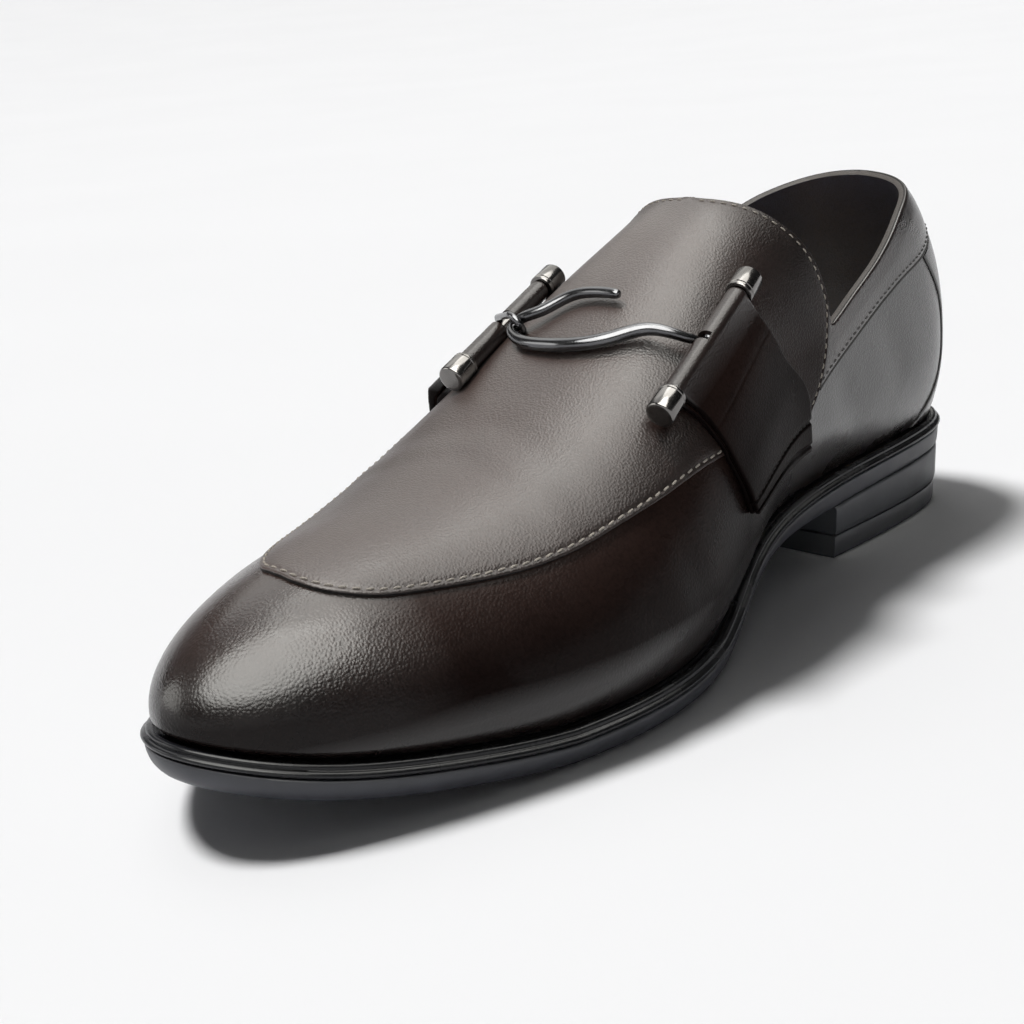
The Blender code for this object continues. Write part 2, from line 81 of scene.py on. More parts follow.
OUTLINE = table(
    "station medial lateral",
    (0.00, 0.0, 0.0), (0.02, 21.5, 19.8), (0.06, 30.8, 30.0), (0.12, 33.4, 36.1),
    (0.20, 32.9, 37.6), (0.30, 30.9, 38.0), (0.40, 32.4, 40.0), (0.50, 42.6, 45.2),
    (0.60, 52.0, 51.2), (0.68, 52.7, 52.6), (0.76, 47.9, 50.0), (0.84, 39.6, 43.0),
    (0.91, 29.9, 32.8), (0.96, 20.4, 22.0), (0.985, 12.5, 13.2), (1.00, 0.0, 0.0))
UNDERSIDE = table(
    "station height",
    (0.00, 20.7), (0.10, 19.4), (0.26, 17.3), (0.36, 13.1), (0.46, 5.6), (0.56, -0.3),
    (0.64, -0.6), (0.74, -0.1), (0.84, 3.5), (0.92, 8.1), (1.00, 16.1))
SECTIONS = table(
    "station ridge_u ridge_z ridge_x widest inset_medial inset_lateral power_medial power_lateral",
    (0.0, 48.0, 124.5, 0.0, 22.0, 0.5, 0.5, 2.6, 2.7),
    (0.1, 59.5, 126.0, 0.0, 23.0, 0.3, 0.6, 2.1, 2.6),
    (0.2, 72.0, 125.5, 0.0, 21.5, -0.4, 0.6, 2.4, 2.5),
    (0.3, 88.0, 121.0, 0.0, 22.0, -3.0, 0.8, 2.5, 2.4),
    (0.4, 107.5, 110.5, 1.0, 22.5, -4.5, 0.9, 2.3, 2.2),
    (0.5, 134.0, 99.5, 2.0, 18.5, -2.2, 0.9, 2.2, 2.1),
    (0.6, 165.0, 83.0, 2.5, 14.0, 1.5, 1.5, 2.1, 2.2),
    (0.7, 195.5, 65.8, 2.5, 9.0, 2.0, 2.0, 2.15, 2.35),
    (0.8, 223.5, 56.5, 1.8, 5.5, 2.0, 2.4, 2.1, 2.2),
    (0.9, 245.5, 53.3, 0.6, 3.5, 2.0, 2.6, 2.15, 2.15),
    (1.0, 267.5, 50.0, -0.6, 2.5, 2.4, 2.6, 2.15, 2.15))
RIDGE_END = {"ridge_u": 12.0, "ridge_z": -2.6}
COLLAR = table(
    "station height",
    (0.00, 106.5), (0.06, 102.0), (0.12, 96.8), (0.20, 86.0), (0.26, 78.3), (0.30, 73.0), (0.34, 70.0))
TONGUE = table(
    "station rise",
    (0.3000, 0.345), (0.3025, 0.385), (0.3080, 0.455), (0.3170, 0.528), (0.3350, 0.628),
    (0.3600, 0.755), (0.3850, 0.870), (0.4045, 0.970), (0.4085, 1.000))
STRAP = table(
    "along rise slant rear front",
    (0.00, 0.630, 0.000, 8.9, 45.8),
    (0.20, 0.538, 0.000, 7.3, 46.2),
    (0.35, 0.468, 0.000, 6.0, 46.3),
    (0.50, 0.400, 0.005, 4.2, 46.3),
    (0.75, 0.280, 0.030, -0.4, 46.2),
    (0.88, 0.225, 0.055, 2.2, 46.2),
    (1.00, 0.176, 0.074, 5.5, 46.0))
BAR_ENDS = {
    "medial": ((31.2, 127.0, 93.1), (38.3, 177.4, 69.3)),
    "lateral": ((-30.0, 133.0, 91.2), (-24.0, 184.0, 72.9)),
}
HOOK = table(
    "x u z thickness",
    (31.0, 155.7, 83.1, 0.80), (27.1, 159.1, 85.1, 0.95), (21.9, 161.7, 85.5, 1.08), (16.4, 166.7, 84.0, 1.14),
    (10.2, 170.7, 82.8, 1.15), (2.2, 172.7, 82.2, 1.13), (-7.2, 172.1, 81.9, 1.06), (-13.3, 169.6, 82.4, 0.98),
    (-16.6, 166.9, 83.4, 0.92), (-16.5, 165.0, 85.0, 0.90), (-13.9, 163.9, 86.6, 0.92), (-10.4, 162.0, 87.9, 0.97),
    (-7.2, 159.4, 89.7, 0.97), (-3.6, 157.0, 91.5, 0.96), (1.0, 155.8, 92.4, 0.94), (6.1, 155.3, 92.6, 0.90),
    (10.3, 154.9, 92.3, 0.82))
EYE_AT = (-16.4, 165.4, 84.8)

# Seam of the raised apron: from the tongue's corner, under the strap, to the front.
APRON = {
    "medial": table(
        "station rise",
        (0.3025, 0.385), (0.3065, 0.350), (0.3130, 0.306), (0.3290, 0.256), (0.3430, 0.236), (0.370, 0.222),
        (0.410, 0.245), (0.450, 0.300), (0.490, 0.365), (0.527, 0.422), (0.566, 0.466), (0.621, 0.508),
        (0.668, 0.543), (0.719, 0.568), (0.762, 0.593), (0.803, 0.622), (0.845, 0.651), (0.876, 0.675),
        (0.909, 0.731), (0.930, 0.784), (0.948, 0.841), (0.963, 0.891), (0.9755, 0.936), (0.985, 0.967),
        (0.991, 0.987), (0.995, 1.000)),
    "lateral": table(
        "station rise",
        (0.3025, 0.385), (0.3065, 0.350), (0.3130, 0.306), (0.3290, 0.256), (0.3430, 0.236), (0.370, 0.222),
        (0.410, 0.245), (0.450, 0.300), (0.490, 0.370), (0.530, 0.445), (0.580, 0.520), (0.630, 0.585),
        (0.692, 0.630), (0.750, 0.674), (0.808, 0.697), (0.857, 0.731), (0.896, 0.770), (0.931, 0.820),
        (0.957, 0.878), (0.972, 0.926), (0.984, 0.964), (0.991, 0.987), (0.995, 1.000)),
}
# Lower seam of the collar band, and the front seam of the heel counter.
BAND = table(
    "station height",
    (0.00, 92.0), (0.05, 87.5), (0.09, 83.2), (0.143, 79.5), (0.203, 73.6), (0.265, 65.8), (0.322, 57.8), (0.36, 52.0))
COUNTER = table(
    "rise station",
    (-0.02, 0.120), (0.0, 0.112), (0.05, 0.086), (0.10, 0.066), (0.177, 0.054), (0.244, 0.053), (0.323, 0.0653),
    (0.398, 0.0874), (0.46, 0.105))

# Soft troughs (depth over 0) and ridges (under 0) worn into the leather, each along a
# short line between two places on the upper.
CREASES = table(
    "side station_a rise_a station_b rise_b half_width depth",
    (1, 0.690, 0.60, 0.700, 1.00, 5.0, 0.20), (1, 0.735, 0.62, 0.742, 1.00, 4.5, 0.15),
    (1, 0.713, 0.60, 0.722, 1.00, 5.0, -0.11), (-1, 0.690, 0.64, 0.700, 1.00, 5.0, 0.20),
    (-1, 0.735, 0.66, 0.742, 1.00, 4.5, 0.15), (-1, 0.713, 0.64, 0.722, 1.00, 5.0, -0.11),
    (1, 0.640, 0.18, 0.700, 0.50, 6.0, 0.55), (1, 0.585, 0.16, 0.620, 0.42, 5.0, 0.40),
    (-1, 0.640, 0.20, 0.700, 0.55, 6.0, 0.55), (-1, 0.585, 0.18, 0.620, 0.46, 5.0, 0.40),
    (1, 0.230, 0.10, 0.290, 0.24, 6.0, 0.45), (-1, 0.230, 0.10, 0.290, 0.24, 6.0, 0.45),
    (1, 0.150, 0.16, 0.200, 0.30, 7.0, 0.35), (-1, 0.150, 0.16, 0.200, 0.30, 7.0, 0.35))


# ----------------------------------------------------------------- functions
def spline(xs, ys, end=None):
    """Cubic through a table, natural at its ends or with a given end slope."""
    xs, ys = np.asarray(xs, float), np.asarray(ys, float)
    n = len(xs)
    h = np.diff(xs)
    a = np.eye(n)
    r = np.zeros(n)
    for i in range(1, n - 1):
        a[i, i - 1:i + 2] = h[i - 1], 2 * (h[i - 1] + h[i]), h[i]
        r[i] = 6 * ((ys[i + 1] - ys[i]) / h[i] - (ys[i] - ys[i - 1]) / h[i - 1])
    if end is not None:
        a[n - 1, n - 2:] = h[-1], 2 * h[-1]
        r[n - 1] = 6 * (end - (ys[-1] - ys[-2]) / h[-1])
    m = np.linalg.solve(a, r)

    def f(x):
        x = np.asarray(x, float)
        k = np.clip(np.searchsorted(xs, x) - 1, 0, n - 2)
        p, q, g = xs[k + 1] - x, x - xs[k], h[k]
        return ((m[k] * p ** 3 + m[k + 1] * q ** 3) / (6 * g)
                + (ys[k] / g - m[k] * g / 6) * p + (ys[k + 1] / g - m[k + 1] * g / 6) * q)
    return f


def smooth(lo, hi, x):
    t = np.clip((np.asarray(x, float) - lo) / (hi - lo), 0, 1)
    return t * t * (3 - 2 * t)


def turn_of(station):
    return np.arccos(np.clip(1 - 2 * np.asarray(station, float), -1, 1))


def station_of(turn):
    return (1 - np.cos(turn)) / 2


def fold_of(turn):
    return np.minimum(np.mod(turn, 2 * pi), 2 * pi - np.mod(turn, 2 * pi))


def outline_spline():
    turns = turn_of(OUTLINE["station"])
    ts = np.concatenate([turns[:-1], 2 * pi - turns[::-1][:-1]])
    xs = np.concatenate([OUTLINE["medial"][:-1], -OUTLINE["lateral"][::-1][:-1]])
    k = 6
    f = spline(np.concatenate([ts[-k:] - 2 * pi, ts, ts[:k] + 2 * pi]),
               np.concatenate([xs[-k:], xs, xs[:k]]))
    return lambda turn: f(np.mod(turn, 2 * pi))


EDGE_X = outline_spline()
SECTION = {name: spline(turn_of(SECTIONS["station"]), SECTIONS[name], RIDGE_END.get(name))
           for name in SECTIONS if name != "station"}
UNDER = spline(UNDERSIDE["station"], UNDERSIDE["height"])
COLLAR_Z = spline(COLLAR["station"], COLLAR["height"])
BAND_Z = spline(BAND["station"], BAND["height"])
TONGUE_AT = spline(TONGUE["rise"], TONGUE["station"])


def edge(turn, inset=0.0):
    def x_at(t):
        return EDGE_X(t) + TOE_SWING * np.clip((station_of(t) - 0.5) / 0.5, 0, 1) ** 2
    e = 1e-4
    dx = (x_at(turn + e) - x_at(turn - e)) / (2 * e)
    du = LENGTH * (station_of(turn + e) - station_of(turn - e)) / (2 * e)
    size = np.hypot(dx, du)
    return x_at(turn) - inset * du / size, LENGTH * station_of(turn) + inset * dx / size


def under_z(u):
    return np.maximum(UNDER(np.clip(u / LENGTH, 0, 1)), 0.0)


def welt_z(u):
    return under_z(u) + SOLE_THICKNESS


def by_side(turn, name):
    w = 0.5 + 0.5 * np.sin(turn) / np.sqrt(np.sin(turn) ** 2 + 0.02)
    return SECTION[name + "_medial"](fold_of(turn)) * w + SECTION[name + "_lateral"](fold_of(turn)) * (1 - w)


def last(turn, rise):
    """Point on the outside of the upper: sideways, from the heel back, height."""
    turn, rise = np.broadcast_arrays(np.asarray(turn, float), np.asarray(rise, float))
    fold = fold_of(turn)
    inset, power = by_side(turn, "inset"), by_side(turn, "power")
    xw, uw = edge(turn, inset)
    xf, uf = edge(turn, np.maximum(FEATHER_INSET, inset + 1.0))
    zf = welt_z(uf) + GAP
    zw = welt_z(uw) + SECTION["widest"](fold)
    xr, ur, zr = SECTION["ridge_x"](fold), SECTION["ridge_u"](fold), SECTION["ridge_z"](fold)
    f0, f1 = np.clip(fold - 0.02, 0, pi), np.clip(fold + 0.02, 0, pi)
    slope = ((SECTION["ridge_z"](f1) - SECTION["ridge_z"](f0))
             / np.maximum(SECTION["ridge_u"](f1) - SECTION["ridge_u"](f0), 1e-3))
    low = np.clip(rise / WIDEST_RISE, 0, 1)
    angle = np.clip((rise - WIDEST_RISE) / (1 - WIDEST_RISE), 0, 1) * pi / 2
    c = np.clip(np.cos(angle), 1e-9, 1) ** (2 / power)
    s = np.clip(np.sin(angle), 0, 1) ** (2 / power)
    under = rise < WIDEST_RISE
    x = np.where(under, xw + (xf - xw) * (1 - low) ** 2, xr + (xw - xr) * c)
    u = np.where(under, uw + (uf - uw) * (1 - low) ** 2, ur + (uw - ur) * c)
    z = np.where(under, zf + (zw - zf) * low, zw + (zr - zw + slope * (u - ur)) * s)
    return x, u, z


_x, _u = edge(np.linspace(0, 2 * pi, 721))
X_CENTRE = (_x.max() + _x.min()) / 2


def place(x, u, z):
    """Shoe sizes to the part's frame, still in millimetres."""
    return np.stack(np.broadcast_arrays(np.asarray(x, float) - X_CENTRE, LENGTH / 2 - np.asarray(u, float),
                                        np.asarray(z, float)), -1)


def unit(v):
    return v / np.maximum(np.linalg.norm(v, axis=-1, keepdims=True), 1e-12)


def skin(turn, rise, lift):
    """Point at a height over the outside of the upper, along its normal, in the frame."""
    e = 1e-3
    p = place(*last(turn, rise))
    d_turn = place(*last(turn + e, rise)) - place(*last(turn - e, rise))
    d_rise = place(*last(turn, rise + e)) - place(*last(turn, rise - e))
    n = unit(np.cross(d_rise, d_turn))
    return p + np.asarray(lift, float)[..., None] * n


# ------------------------------------------------------------- mesh helpers
def add_object(name, points, faces, materials, kinds=None, slot=None, nodes=(), flat_over=40.0, **attributes):
    """Object from points in millimetres; it rides on the shoe's one body."""
    me = bpy.data.meshes.new(name)
    me.from_pydata((np.asarray(points, float) * MM).tolist(), [], [list(map(int, f)) for f in faces])
    me.validate(clean_customdata=False)
    for m in materials:
        me.materials.append(m)
    if kinds is not None:
        me.polygons.foreach_set("material_index", np.asarray(kinds, np.int32))
    for key, values in attributes.items():
        me.attributes.new(key, "FLOAT", "POINT").data.foreach_set("value", np.asarray(values, np.float32))
    me.shade_smooth()
    if flat_over < 180:
        me.set_sharp_from_angle(angle=radians(flat_over))
    ob = bpy.data.objects.new(name, me)
    bpy.context.scene.collection.objects.link(ob)
    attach(ob, "root")
    if nodes:
        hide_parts(*nodes)
    return ob


def face_out(ob):
    """Turn a closed mesh's faces outward."""
    me = ob.data
    me.calc_loop_triangles()
    tri = np.zeros(len(me.loop_triangles) * 3, np.int32)
    me.loop_triangles.foreach_get("vertices", tri)
    co = np.zeros(len(me.vertices) * 3)
    me.vertices.foreach_get("co", co)
    a, b, c = (co.reshape(-1, 3)[tri.reshape(-1, 3)[:, i]] for i in range(3))
    if np.einsum("ij,ij->i", a, np.cross(b, c)).sum() < 0:
        me.flip_normals()
    return ob


def grid_faces(n, m, wrap_n=False, wrap_m=False, start=0):
    i, j = np.meshgrid(np.arange(n if wrap_n else n - 1), np.arange(m if wrap_m else m - 1), indexing="ij")
    i, j = i.ravel(), j.ravel()
    i2, j2 = (i + 1) % n, (j + 1) % m
    return np.stack([i * m + j, i2 * m + j, i2 * m + j2, i * m + j2], -1) + start


def ladder(ring):
    """Faces across a closed ring whose two halves mirror each other."""
    n, out = len(ring), []
    for j in range(n // 2):
        quad = list(dict.fromkeys([ring[j], ring[j + 1], ring[-j - 1], ring[-j % n]]))
        if len(quad) > 2:
            out.append(quad)
    return out


def ring_solid(name, rings, materials, kinds=None, **kw):
    """Solid through closed rings of equal count, capped at both ends."""
    rings = np.asarray(rings)
    n, m = rings.shape[:2]
    faces = [list(f) for f in grid_faces(n, m, wrap_m=True)]
    marks = [0 if kinds is None else kinds[i] for i in range(n - 1) for _ in range(m)]
    for k in (0, n - 1):
        cap = ladder(list(range(k * m, k * m + m)))
        if k == 0:
            cap = [list(reversed(f)) for f in cap]
        faces += cap
        marks += [0 if kinds is None else kinds[min(k, n - 2)]] * len(cap)
    return face_out(add_object(name, rings.reshape(-1, 3), faces, materials, marks, **kw))


def ribbon(name, outside, inside, materials, keep=None, **kw):
    """Closed sheet between two grids of points; cells left out of keep are cut away."""
    n, m = outside.shape[:2]
    keep = np.ones((n - 1, m - 1), bool) if keep is None else keep
    points = np.concatenate([outside.reshape(-1, 3), inside.reshape(-1, 3)])
    low = n * m
    faces = []
    for i in range(n - 1):
        for j in range(m - 1):
            if not keep[i, j]:
                continue
            a, b, c, d = i * m + j, (i + 1) * m + j, (i + 1) * m + j + 1, i * m + j + 1
            faces.append((a, b, c, d))
            faces.append((a + low, d + low, c + low, b + low))
            for (p, q), (di, dj) in (((a, b), (0, -1)), ((b, c), (1, 0)), ((c, d), (0, 1)), ((d, a), (-1, 0))):
                ni, nj = i + di, j + dj
                if not (0 <= ni < n - 1 and 0 <= nj < m - 1 and keep[ni, nj]):
                    faces.append((q, p, p + low, q + low))
    used = np.unique(np.array([v for f in faces for v in f]))
    remap = np.full(len(points), -1)
    remap[used] = np.arange(len(used))
    faces = [[remap[v] for v in f] for f in faces]
    kw = {k: (np.asarray(v)[used] if isinstance(v, np.ndarray) else v) for k, v in kw.items()}
    return face_out(add_object(name, points[used], faces, materials, **kw))


def frames_along(path):
    """Unit tangents and two steady normals along a line of points."""
    path = np.asarray(path, float)
    t = unit(np.gradient(path, axis=0))
    n = np.zeros_like(t)
    first = np.cross(t[0], [0.0, 0.0, 1.0])
    n[0] = unit(first if np.linalg.norm(first) > 1e-3 else np.cross(t[0], [1.0, 0.0, 0.0]))
    for i in range(1, len(t)):
        v = n[i - 1] - t[i] * np.dot(n[i - 1], t[i])
        n[i] = unit(v)
    return t, n, np.cross(t, n)


def tube_points(path, radius, sides, closed=False):
    t, n, b = frames_along(path)
    if closed:                                        # spread the closing twist along the loop
        v = n[-1] - t[0] * np.dot(n[-1], t[0])
        twist = np.arctan2(np.dot(v, b[0]), np.dot(v, n[0]))
        a = -twist * np.linspace(0, 1, len(path), endpoint=False)[:, None]
        n, b = n * np.cos(a) + b * np.sin(a), b * np.cos(a) - n * np.sin(a)
    g = np.linspace(0, 2 * pi, sides, endpoint=False)
    r = np.broadcast_to(np.asarray(radius, float), (len(path),))[:, None, None]
    return (np.asarray(path, float)[:, None] + r * (n[:, None] * np.cos(g)[None, :, None]
                                                    + b[:, None] * np.sin(g)[None, :, None]))


def tube(name, path, radius, materials, sides=20, closed=False, **kw):
    """Round wire along a line; open ends are rounded off."""
    rings = tube_points(path, radius, sides, closed)
    n = len(rings)
    faces = [list(f) for f in grid_faces(n, sides, wrap_n=closed, wrap_m=True)]
    if not closed:
        faces.append(list(range(sides)))
        faces.append(list(range((n - 1) * sides, n * sides))[::-1])
    return face_out(add_object(name, rings.reshape(-1, 3), faces, materials, **kw))


# ---------------------------------------------------------------- materials
def shader(name):
    m = bpy.data.materials.new(name)
    m.use_nodes = True
    tree = m.node_tree
    return m, tree, tree.nodes["Principled BSDF"]


class Nodes:
    """Short way to add and join shader nodes."""

    def __init__(self, tree):
        self.t = tree
        self.at = tree.nodes.new("ShaderNodeTexCoord").outputs["Object"]

    def new(self, kind, inputs=None, **settings):
        n = self.t.nodes.new("ShaderNode" + kind)
        for k, v in settings.items():
            setattr(n, k, v)
        for k, v in (inputs or {}).items():
            if isinstance(v, bpy.types.NodeSocket):
                self.t.links.new(v, n.inputs[k])
            else:
                n.inputs[k].default_value = v
        return n

    def noise(self, scale, detail=3.0, rough=0.5, at=None, stretch=None):
        vec = at or self.at
        if stretch:
            vec = self.new("Mapping", {"Vector": vec, "Scale": stretch}).outputs[0]
        return self.new("TexNoise", {"Vector": vec, "Scale": scale, "Detail": detail, "Roughness": rough}).outputs["Fac"]

    def cells(self, scale, feature="F1", at=None):
        return self.new("TexVoronoi", {"Vector": at or self.at, "Scale": scale}, feature=feature).outputs["Distance"]

    def span(self, value, lo, hi, to_lo=0.0, to_hi=1.0):
        return self.new("MapRange", {"Value": value, "From Min": lo, "From Max": hi, "To Min": to_lo, "To Max": to_hi}).outputs[0]

    def maths(self, op, a, b):
        return self.new("Math", {0: a, 1: b}, operation=op).outputs[0]

    def ramp(self, fac, stops):
        n = self.new("ValToRGB", {"Fac": fac})
        e = n.color_ramp.elements
        while len(e) < len(stops):
            e.new(0.5)
        for item, (pos, colour) in zip(e, stops):
            item.position = pos
            item.color = (*colour, 1.0)
        return n.outputs["Color"]

    def mix(self, fac, a, b, blend="MIX"):
        n = self.t.nodes.new("ShaderNodeMix")
        n.data_type, n.blend_type = "RGBA", blend
        for k, v in ((0, fac), (6, a), (7, b)):
            if isinstance(v, bpy.types.NodeSocket):
                self.t.links.new(v, n.inputs[k])
            else:
                n.inputs[k].default_value = v if k == 0 else (*v, 1.0)
        return n.outputs[2]

    def bump(self, height, distance, strength=1.0, normal=None):
        inputs = {"Height": height, "Distance": distance, "Strength": strength}
        if normal is not None:
            inputs["Normal"] = normal
        return self.new("Bump", inputs).outputs["Normal"]

    def link(self, out, socket):
        self.t.links.new(out, socket)


def leather(name, stops, grain=0.00006, cell=1350.0, rough=(0.27, 0.40), coat=0.25, coat_rough=0.20, spec=0.5, deep=None,
            waist=None, sleeve=None):
    """Finished leather: tone from burnished to bare, pebbled grain with painted shade in its valleys, uneven polish, a
    thin coat of wax.
    With deep given, the polish is only a share of itself under the first tone and full over the second,
    and fades down the wings of the tongue;
    with waist given, it is only that share between the toe and the quarter, where the shoe is walked dull,
    and dull round the toe's bend; a hem along the welt stays polished. With sleeve given, it rises to that
    amount where the leather is drawn tight round the bars."""
    m, tree, b = shader(name)
    k = Nodes(tree)
    tone = k.new("Attribute", attribute_name="tone").outputs["Fac"]
    cloud = k.span(k.noise(34.0, 4.0), 0.25, 0.75, -0.10, 0.10)
    fleck = k.span(k.noise(900.0, 2.0), 0.3, 0.7, -0.035, 0.035)
    colour = k.ramp(k.maths("ADD", k.maths("ADD", tone, cloud), fleck), stops)
    pebble = k.span(k.cells(cell, "F1", k.at), 0.15, 0.75, 1.0, 0.0)
    fine = k.noise(4200.0, 2.0)
    height = k.maths("ADD", k.maths("MULTIPLY", pebble, 0.8), k.maths("MULTIPLY", fine, 0.35))
    soft = k.bump(k.noise(160.0, 2.0), 0.00010, 0.5)
    k.link(k.bump(height, grain, 0.9, soft), b.inputs["Normal"])
    # painted shade: the colour is darkened by up to 18 % in the valleys between the grain's pebbles
    valley_shade = k.span(pebble, 0.0, 0.35, 0.82, 1.0)
    k.link(k.mix(1.0, colour, valley_shade, "MULTIPLY"), b.inputs["Base Color"])
    k.link(k.span(k.noise(55.0, 3.0), 0.25, 0.75, *rough), b.inputs["Roughness"])
    b.inputs["Coat Weight"].default_value = coat
    b.inputs["Coat Roughness"].default_value = coat_rough
    b.inputs["Specular IOR Level"].default_value = spec
    if deep is not None:
        share, dull, full = deep
        at = k.new("SeparateXYZ", {"Vector": k.at})
        wing = k.span(k.maths("ADD", at.outputs["Z"], k.span(at.outputs["Y"], 0.01, 0.03, 0.05, 0.0)), 0.068, 0.088, 0.2, 1.0)
        share = k.maths("MULTIPLY", k.span(tone, dull, full, share, 1.0), wing)
        k.link(k.maths("MULTIPLY", share, coat), b.inputs["Coat Weight"])
        k.link(k.maths("MULTIPLY", share, spec), b.inputs["Specular IOR Level"])
    if sleeve is not None:
        at = k.new("SeparateXYZ", {"Vector": k.at})
        over = k.maths("SUBTRACT", at.outputs["Z"], k.maths("MULTIPLY", at.outputs["Y"], 0.45))
        k.link(k.span(over, 0.076, 0.082, spec, sleeve), b.inputs["Specular IOR Level"])
    if waist is not None:
        at = k.new("SeparateXYZ", {"Vector": k.at})
        x, y, z = at.outputs["X"], at.outputs["Y"], at.outputs["Z"]
        share = k.maths("ADD", k.span(y, -0.113, -0.097, 1.0, waist), k.span(y, 0.0, 0.045, 0.0, 1.45 - waist))
        clear = k.maths("ADD", k.span(y, -0.09, -0.06, 0.0, 0.05), k.span(x, -0.020, -0.002, 0.05, 0.0))
        bend = k.span(k.maths("ADD", z, clear), 0.028, 0.035, 0.3, 1.0)
        hem = k.span(k.maths("SUBTRACT", z, k.span(y, -0.02, 0.06, 0.0, 0.022)), 0.0185, 0.0245, 1.0, 0.0)
        share = k.maths("MAXIMUM", k.maths("MULTIPLY", share, bend), hem)
        k.link(k.maths("MULTIPLY", share, coat), b.inputs["Coat Weight"])
        k.link(k.maths("MULTIPLY", share, spec), b.inputs["Specular IOR Level"])
    return m


def rubber(name, colour, rough, scuff=0.0, spec=0.5):
    m, tree, b = shader(name)
    b.inputs["Specular IOR Level"].default_value = spec
    k = Nodes(tree)
    mottle = k.span(k.noise(45.0, 4.0), 0.3, 0.7, 0.80, 1.25)
    k.link(k.mix(1.0, colour, mottle, "MULTIPLY"), b.inputs["Base Color"])
    k.link(k.span(k.noise(120.0, 3.0), 0.3, 0.7, rough - 0.07, rough + 0.08), b.inputs["Roughness"])
    k.link(k.bump(k.noise(2600.0, 3.0), 0.00005 + scuff, 0.6), b.inputs["Normal"])
    return m


def metal(name, colour, rough):
    m, tree, b = shader(name)
    k = Nodes(tree)
    tint = k.span(k.noise(180.0, 3.0), 0.3, 0.7, 0.88, 1.10)
    k.link(k.mix(1.0, colour, tint, "MULTIPLY"), b.inputs["Base Color"])
    k.link(k.span(k.noise(600.0, 3.0), 0.3, 0.7, rough - 0.04, rough + 0.06), b.inputs["Roughness"])
    k.link(k.bump(k.noise(1500.0, 2.0), 0.000004, 0.4), b.inputs["Normal"])
    b.inputs["Metallic"].default_value = 1.0
    return m


def thread(name, colour):
    m, tree, b = shader(name)
    k = Nodes(tree)
    ply = k.noise(2600.0, 2.0)
    k.link(k.mix(1.0, colour, k.span(ply, 0.3, 0.7, 0.7, 1.15), "MULTIPLY"), b.inputs["Base Color"])
    k.link(k.bump(ply, 0.0001, 0.7), b.inputs["Normal"])
    b.inputs["Roughness"].default_value = 0.75
    return m


BROWN = [(0.0, (0.0052, 0.0032, 0.0031)), (0.30, (0.0135, 0.0080, 0.0069)), (0.62, (0.034, 0.0195, 0.0160)),
         (1.0, (0.058, 0.0345, 0.028))]
VAMP = leather("vamp_leather", BROWN, cell=1450.0, rough=(0.22, 0.33), coat=0.22, coat_rough=0.16, spec=0.44, waist=0.12)
APRON_SKIN = leather("apron_leather", BROWN, grain=0.00010, cell=1600.0, rough=(0.32, 0.44), coat=0.28, coat_rough=0.32, spec=0.5, deep=(0.45, 0.48, 0.75))
STRAP_SKIN = leather("strap_leather", BROWN, grain=0.00004, cell=1700.0, rough=(0.25, 0.33), coat=0.0, spec=0.015, sleeve=0.48)
CUT_EDGE = leather("cut_edge", [(0.0, (0.010, 0.007, 0.006)), (1.0, (0.12, 0.095, 0.08))], grain=0.0001, cell=2200.0,
                   rough=(0.5, 0.7), coat=0.0)
# near black walls of the overlay panels: the cut edge's own dark colour, and painted shade of the gap under each
# panel's edge
SEAM_EDGE_AND_SHADE = leather("seam_edge_and_shade", [(0.0, (0.0025, 0.0020, 0.0020)), (1.0, (0.008, 0.0052, 0.0046))], grain=0.0001, cell=2200.0,
                    rough=(0.55, 0.7), coat=0.0, spec=0.2)
LINING = leather("lining_leather", [(0.0, (0.052, 0.054, 0.082)), (1.0, (0.092, 0.094, 0.136))], grain=0.00008, cell=1900.0,
                 rough=(0.48, 0.62), coat=0.0)
FOOTBED = leather("footbed_leather", [(0.0, (0.30, 0.165, 0.035)), (1.0, (0.52, 0.30, 0.075))], grain=0.00007, cell=1600.0,
                  rough=(0.5, 0.65), coat=0.0)
SOLE = rubber("sole_rubber", (0.036, 0.038, 0.047), 0.44)
BEAD = rubber("welt_rubber", (0.010, 0.010, 0.012), 0.24, spec=0.3)
HEEL = rubber("heel_rubber", (0.050, 0.053, 0.061), 0.44)
GUNMETAL = metal("gunmetal", (0.17, 0.163, 0.158), 0.17)
DARK_METAL = metal("dark_gunmetal", (0.115, 0.115, 0.12), 0.19)
CREAM_THREAD = thread("cream_thread", (0.36, 0.32, 0.27))
DARK_THREAD = thread("dark_thread", (0.012, 0.010, 0.010))


# ------------------------------------------------------- fine net of the upper
def half_turns():
    """Turns from heel back to toe tip with the rise at which each section ends, by side."""
    fine = np.linspace(0, pi, 4001)
    way = 0.0
    for t in (fine, 2 * pi - fine):
        x, u = edge(t)
        way = way + np.concatenate([[0], np.cumsum(np.hypot(np.diff(x), np.diff(u)))]) / 2

    def even(a, b, step):
        sa, sb = np.interp([a, b], fine, way)
        return np.interp(np.linspace(sa, sb, int((sb - sa) / step) + 2), way, fine)
    corner, top = float(turn_of(CORNER_STATION)), float(turn_of(TONGUE_STATION))
    rear, front = even(0, corner, 1.5), even(top, pi, 1.5)
    rises = np.linspace(TONGUE["rise"][0], 1.0, 44)
    throat = turn_of(TONGUE_AT(rises))
    turns = np.concatenate([rear[:-1], throat[:-1], front])
    ends = {}
    for side in ("medial", "lateral"):
        t = rear[:-1] if side == "medial" else 2 * pi - rear[:-1]
        lo, hi = np.full(len(t), WIDEST_RISE), np.full(len(t), 0.95)
        for _ in range(40):
            mid = (lo + hi) / 2
            low = last(t, mid)[2] < COLLAR_Z(station_of(t))
            lo, hi = np.where(low, mid, lo), np.where(low, hi, mid)
        ends[side] = np.concatenate([lo, rises[:-1], np.ones(len(front))])
    return turns, ends


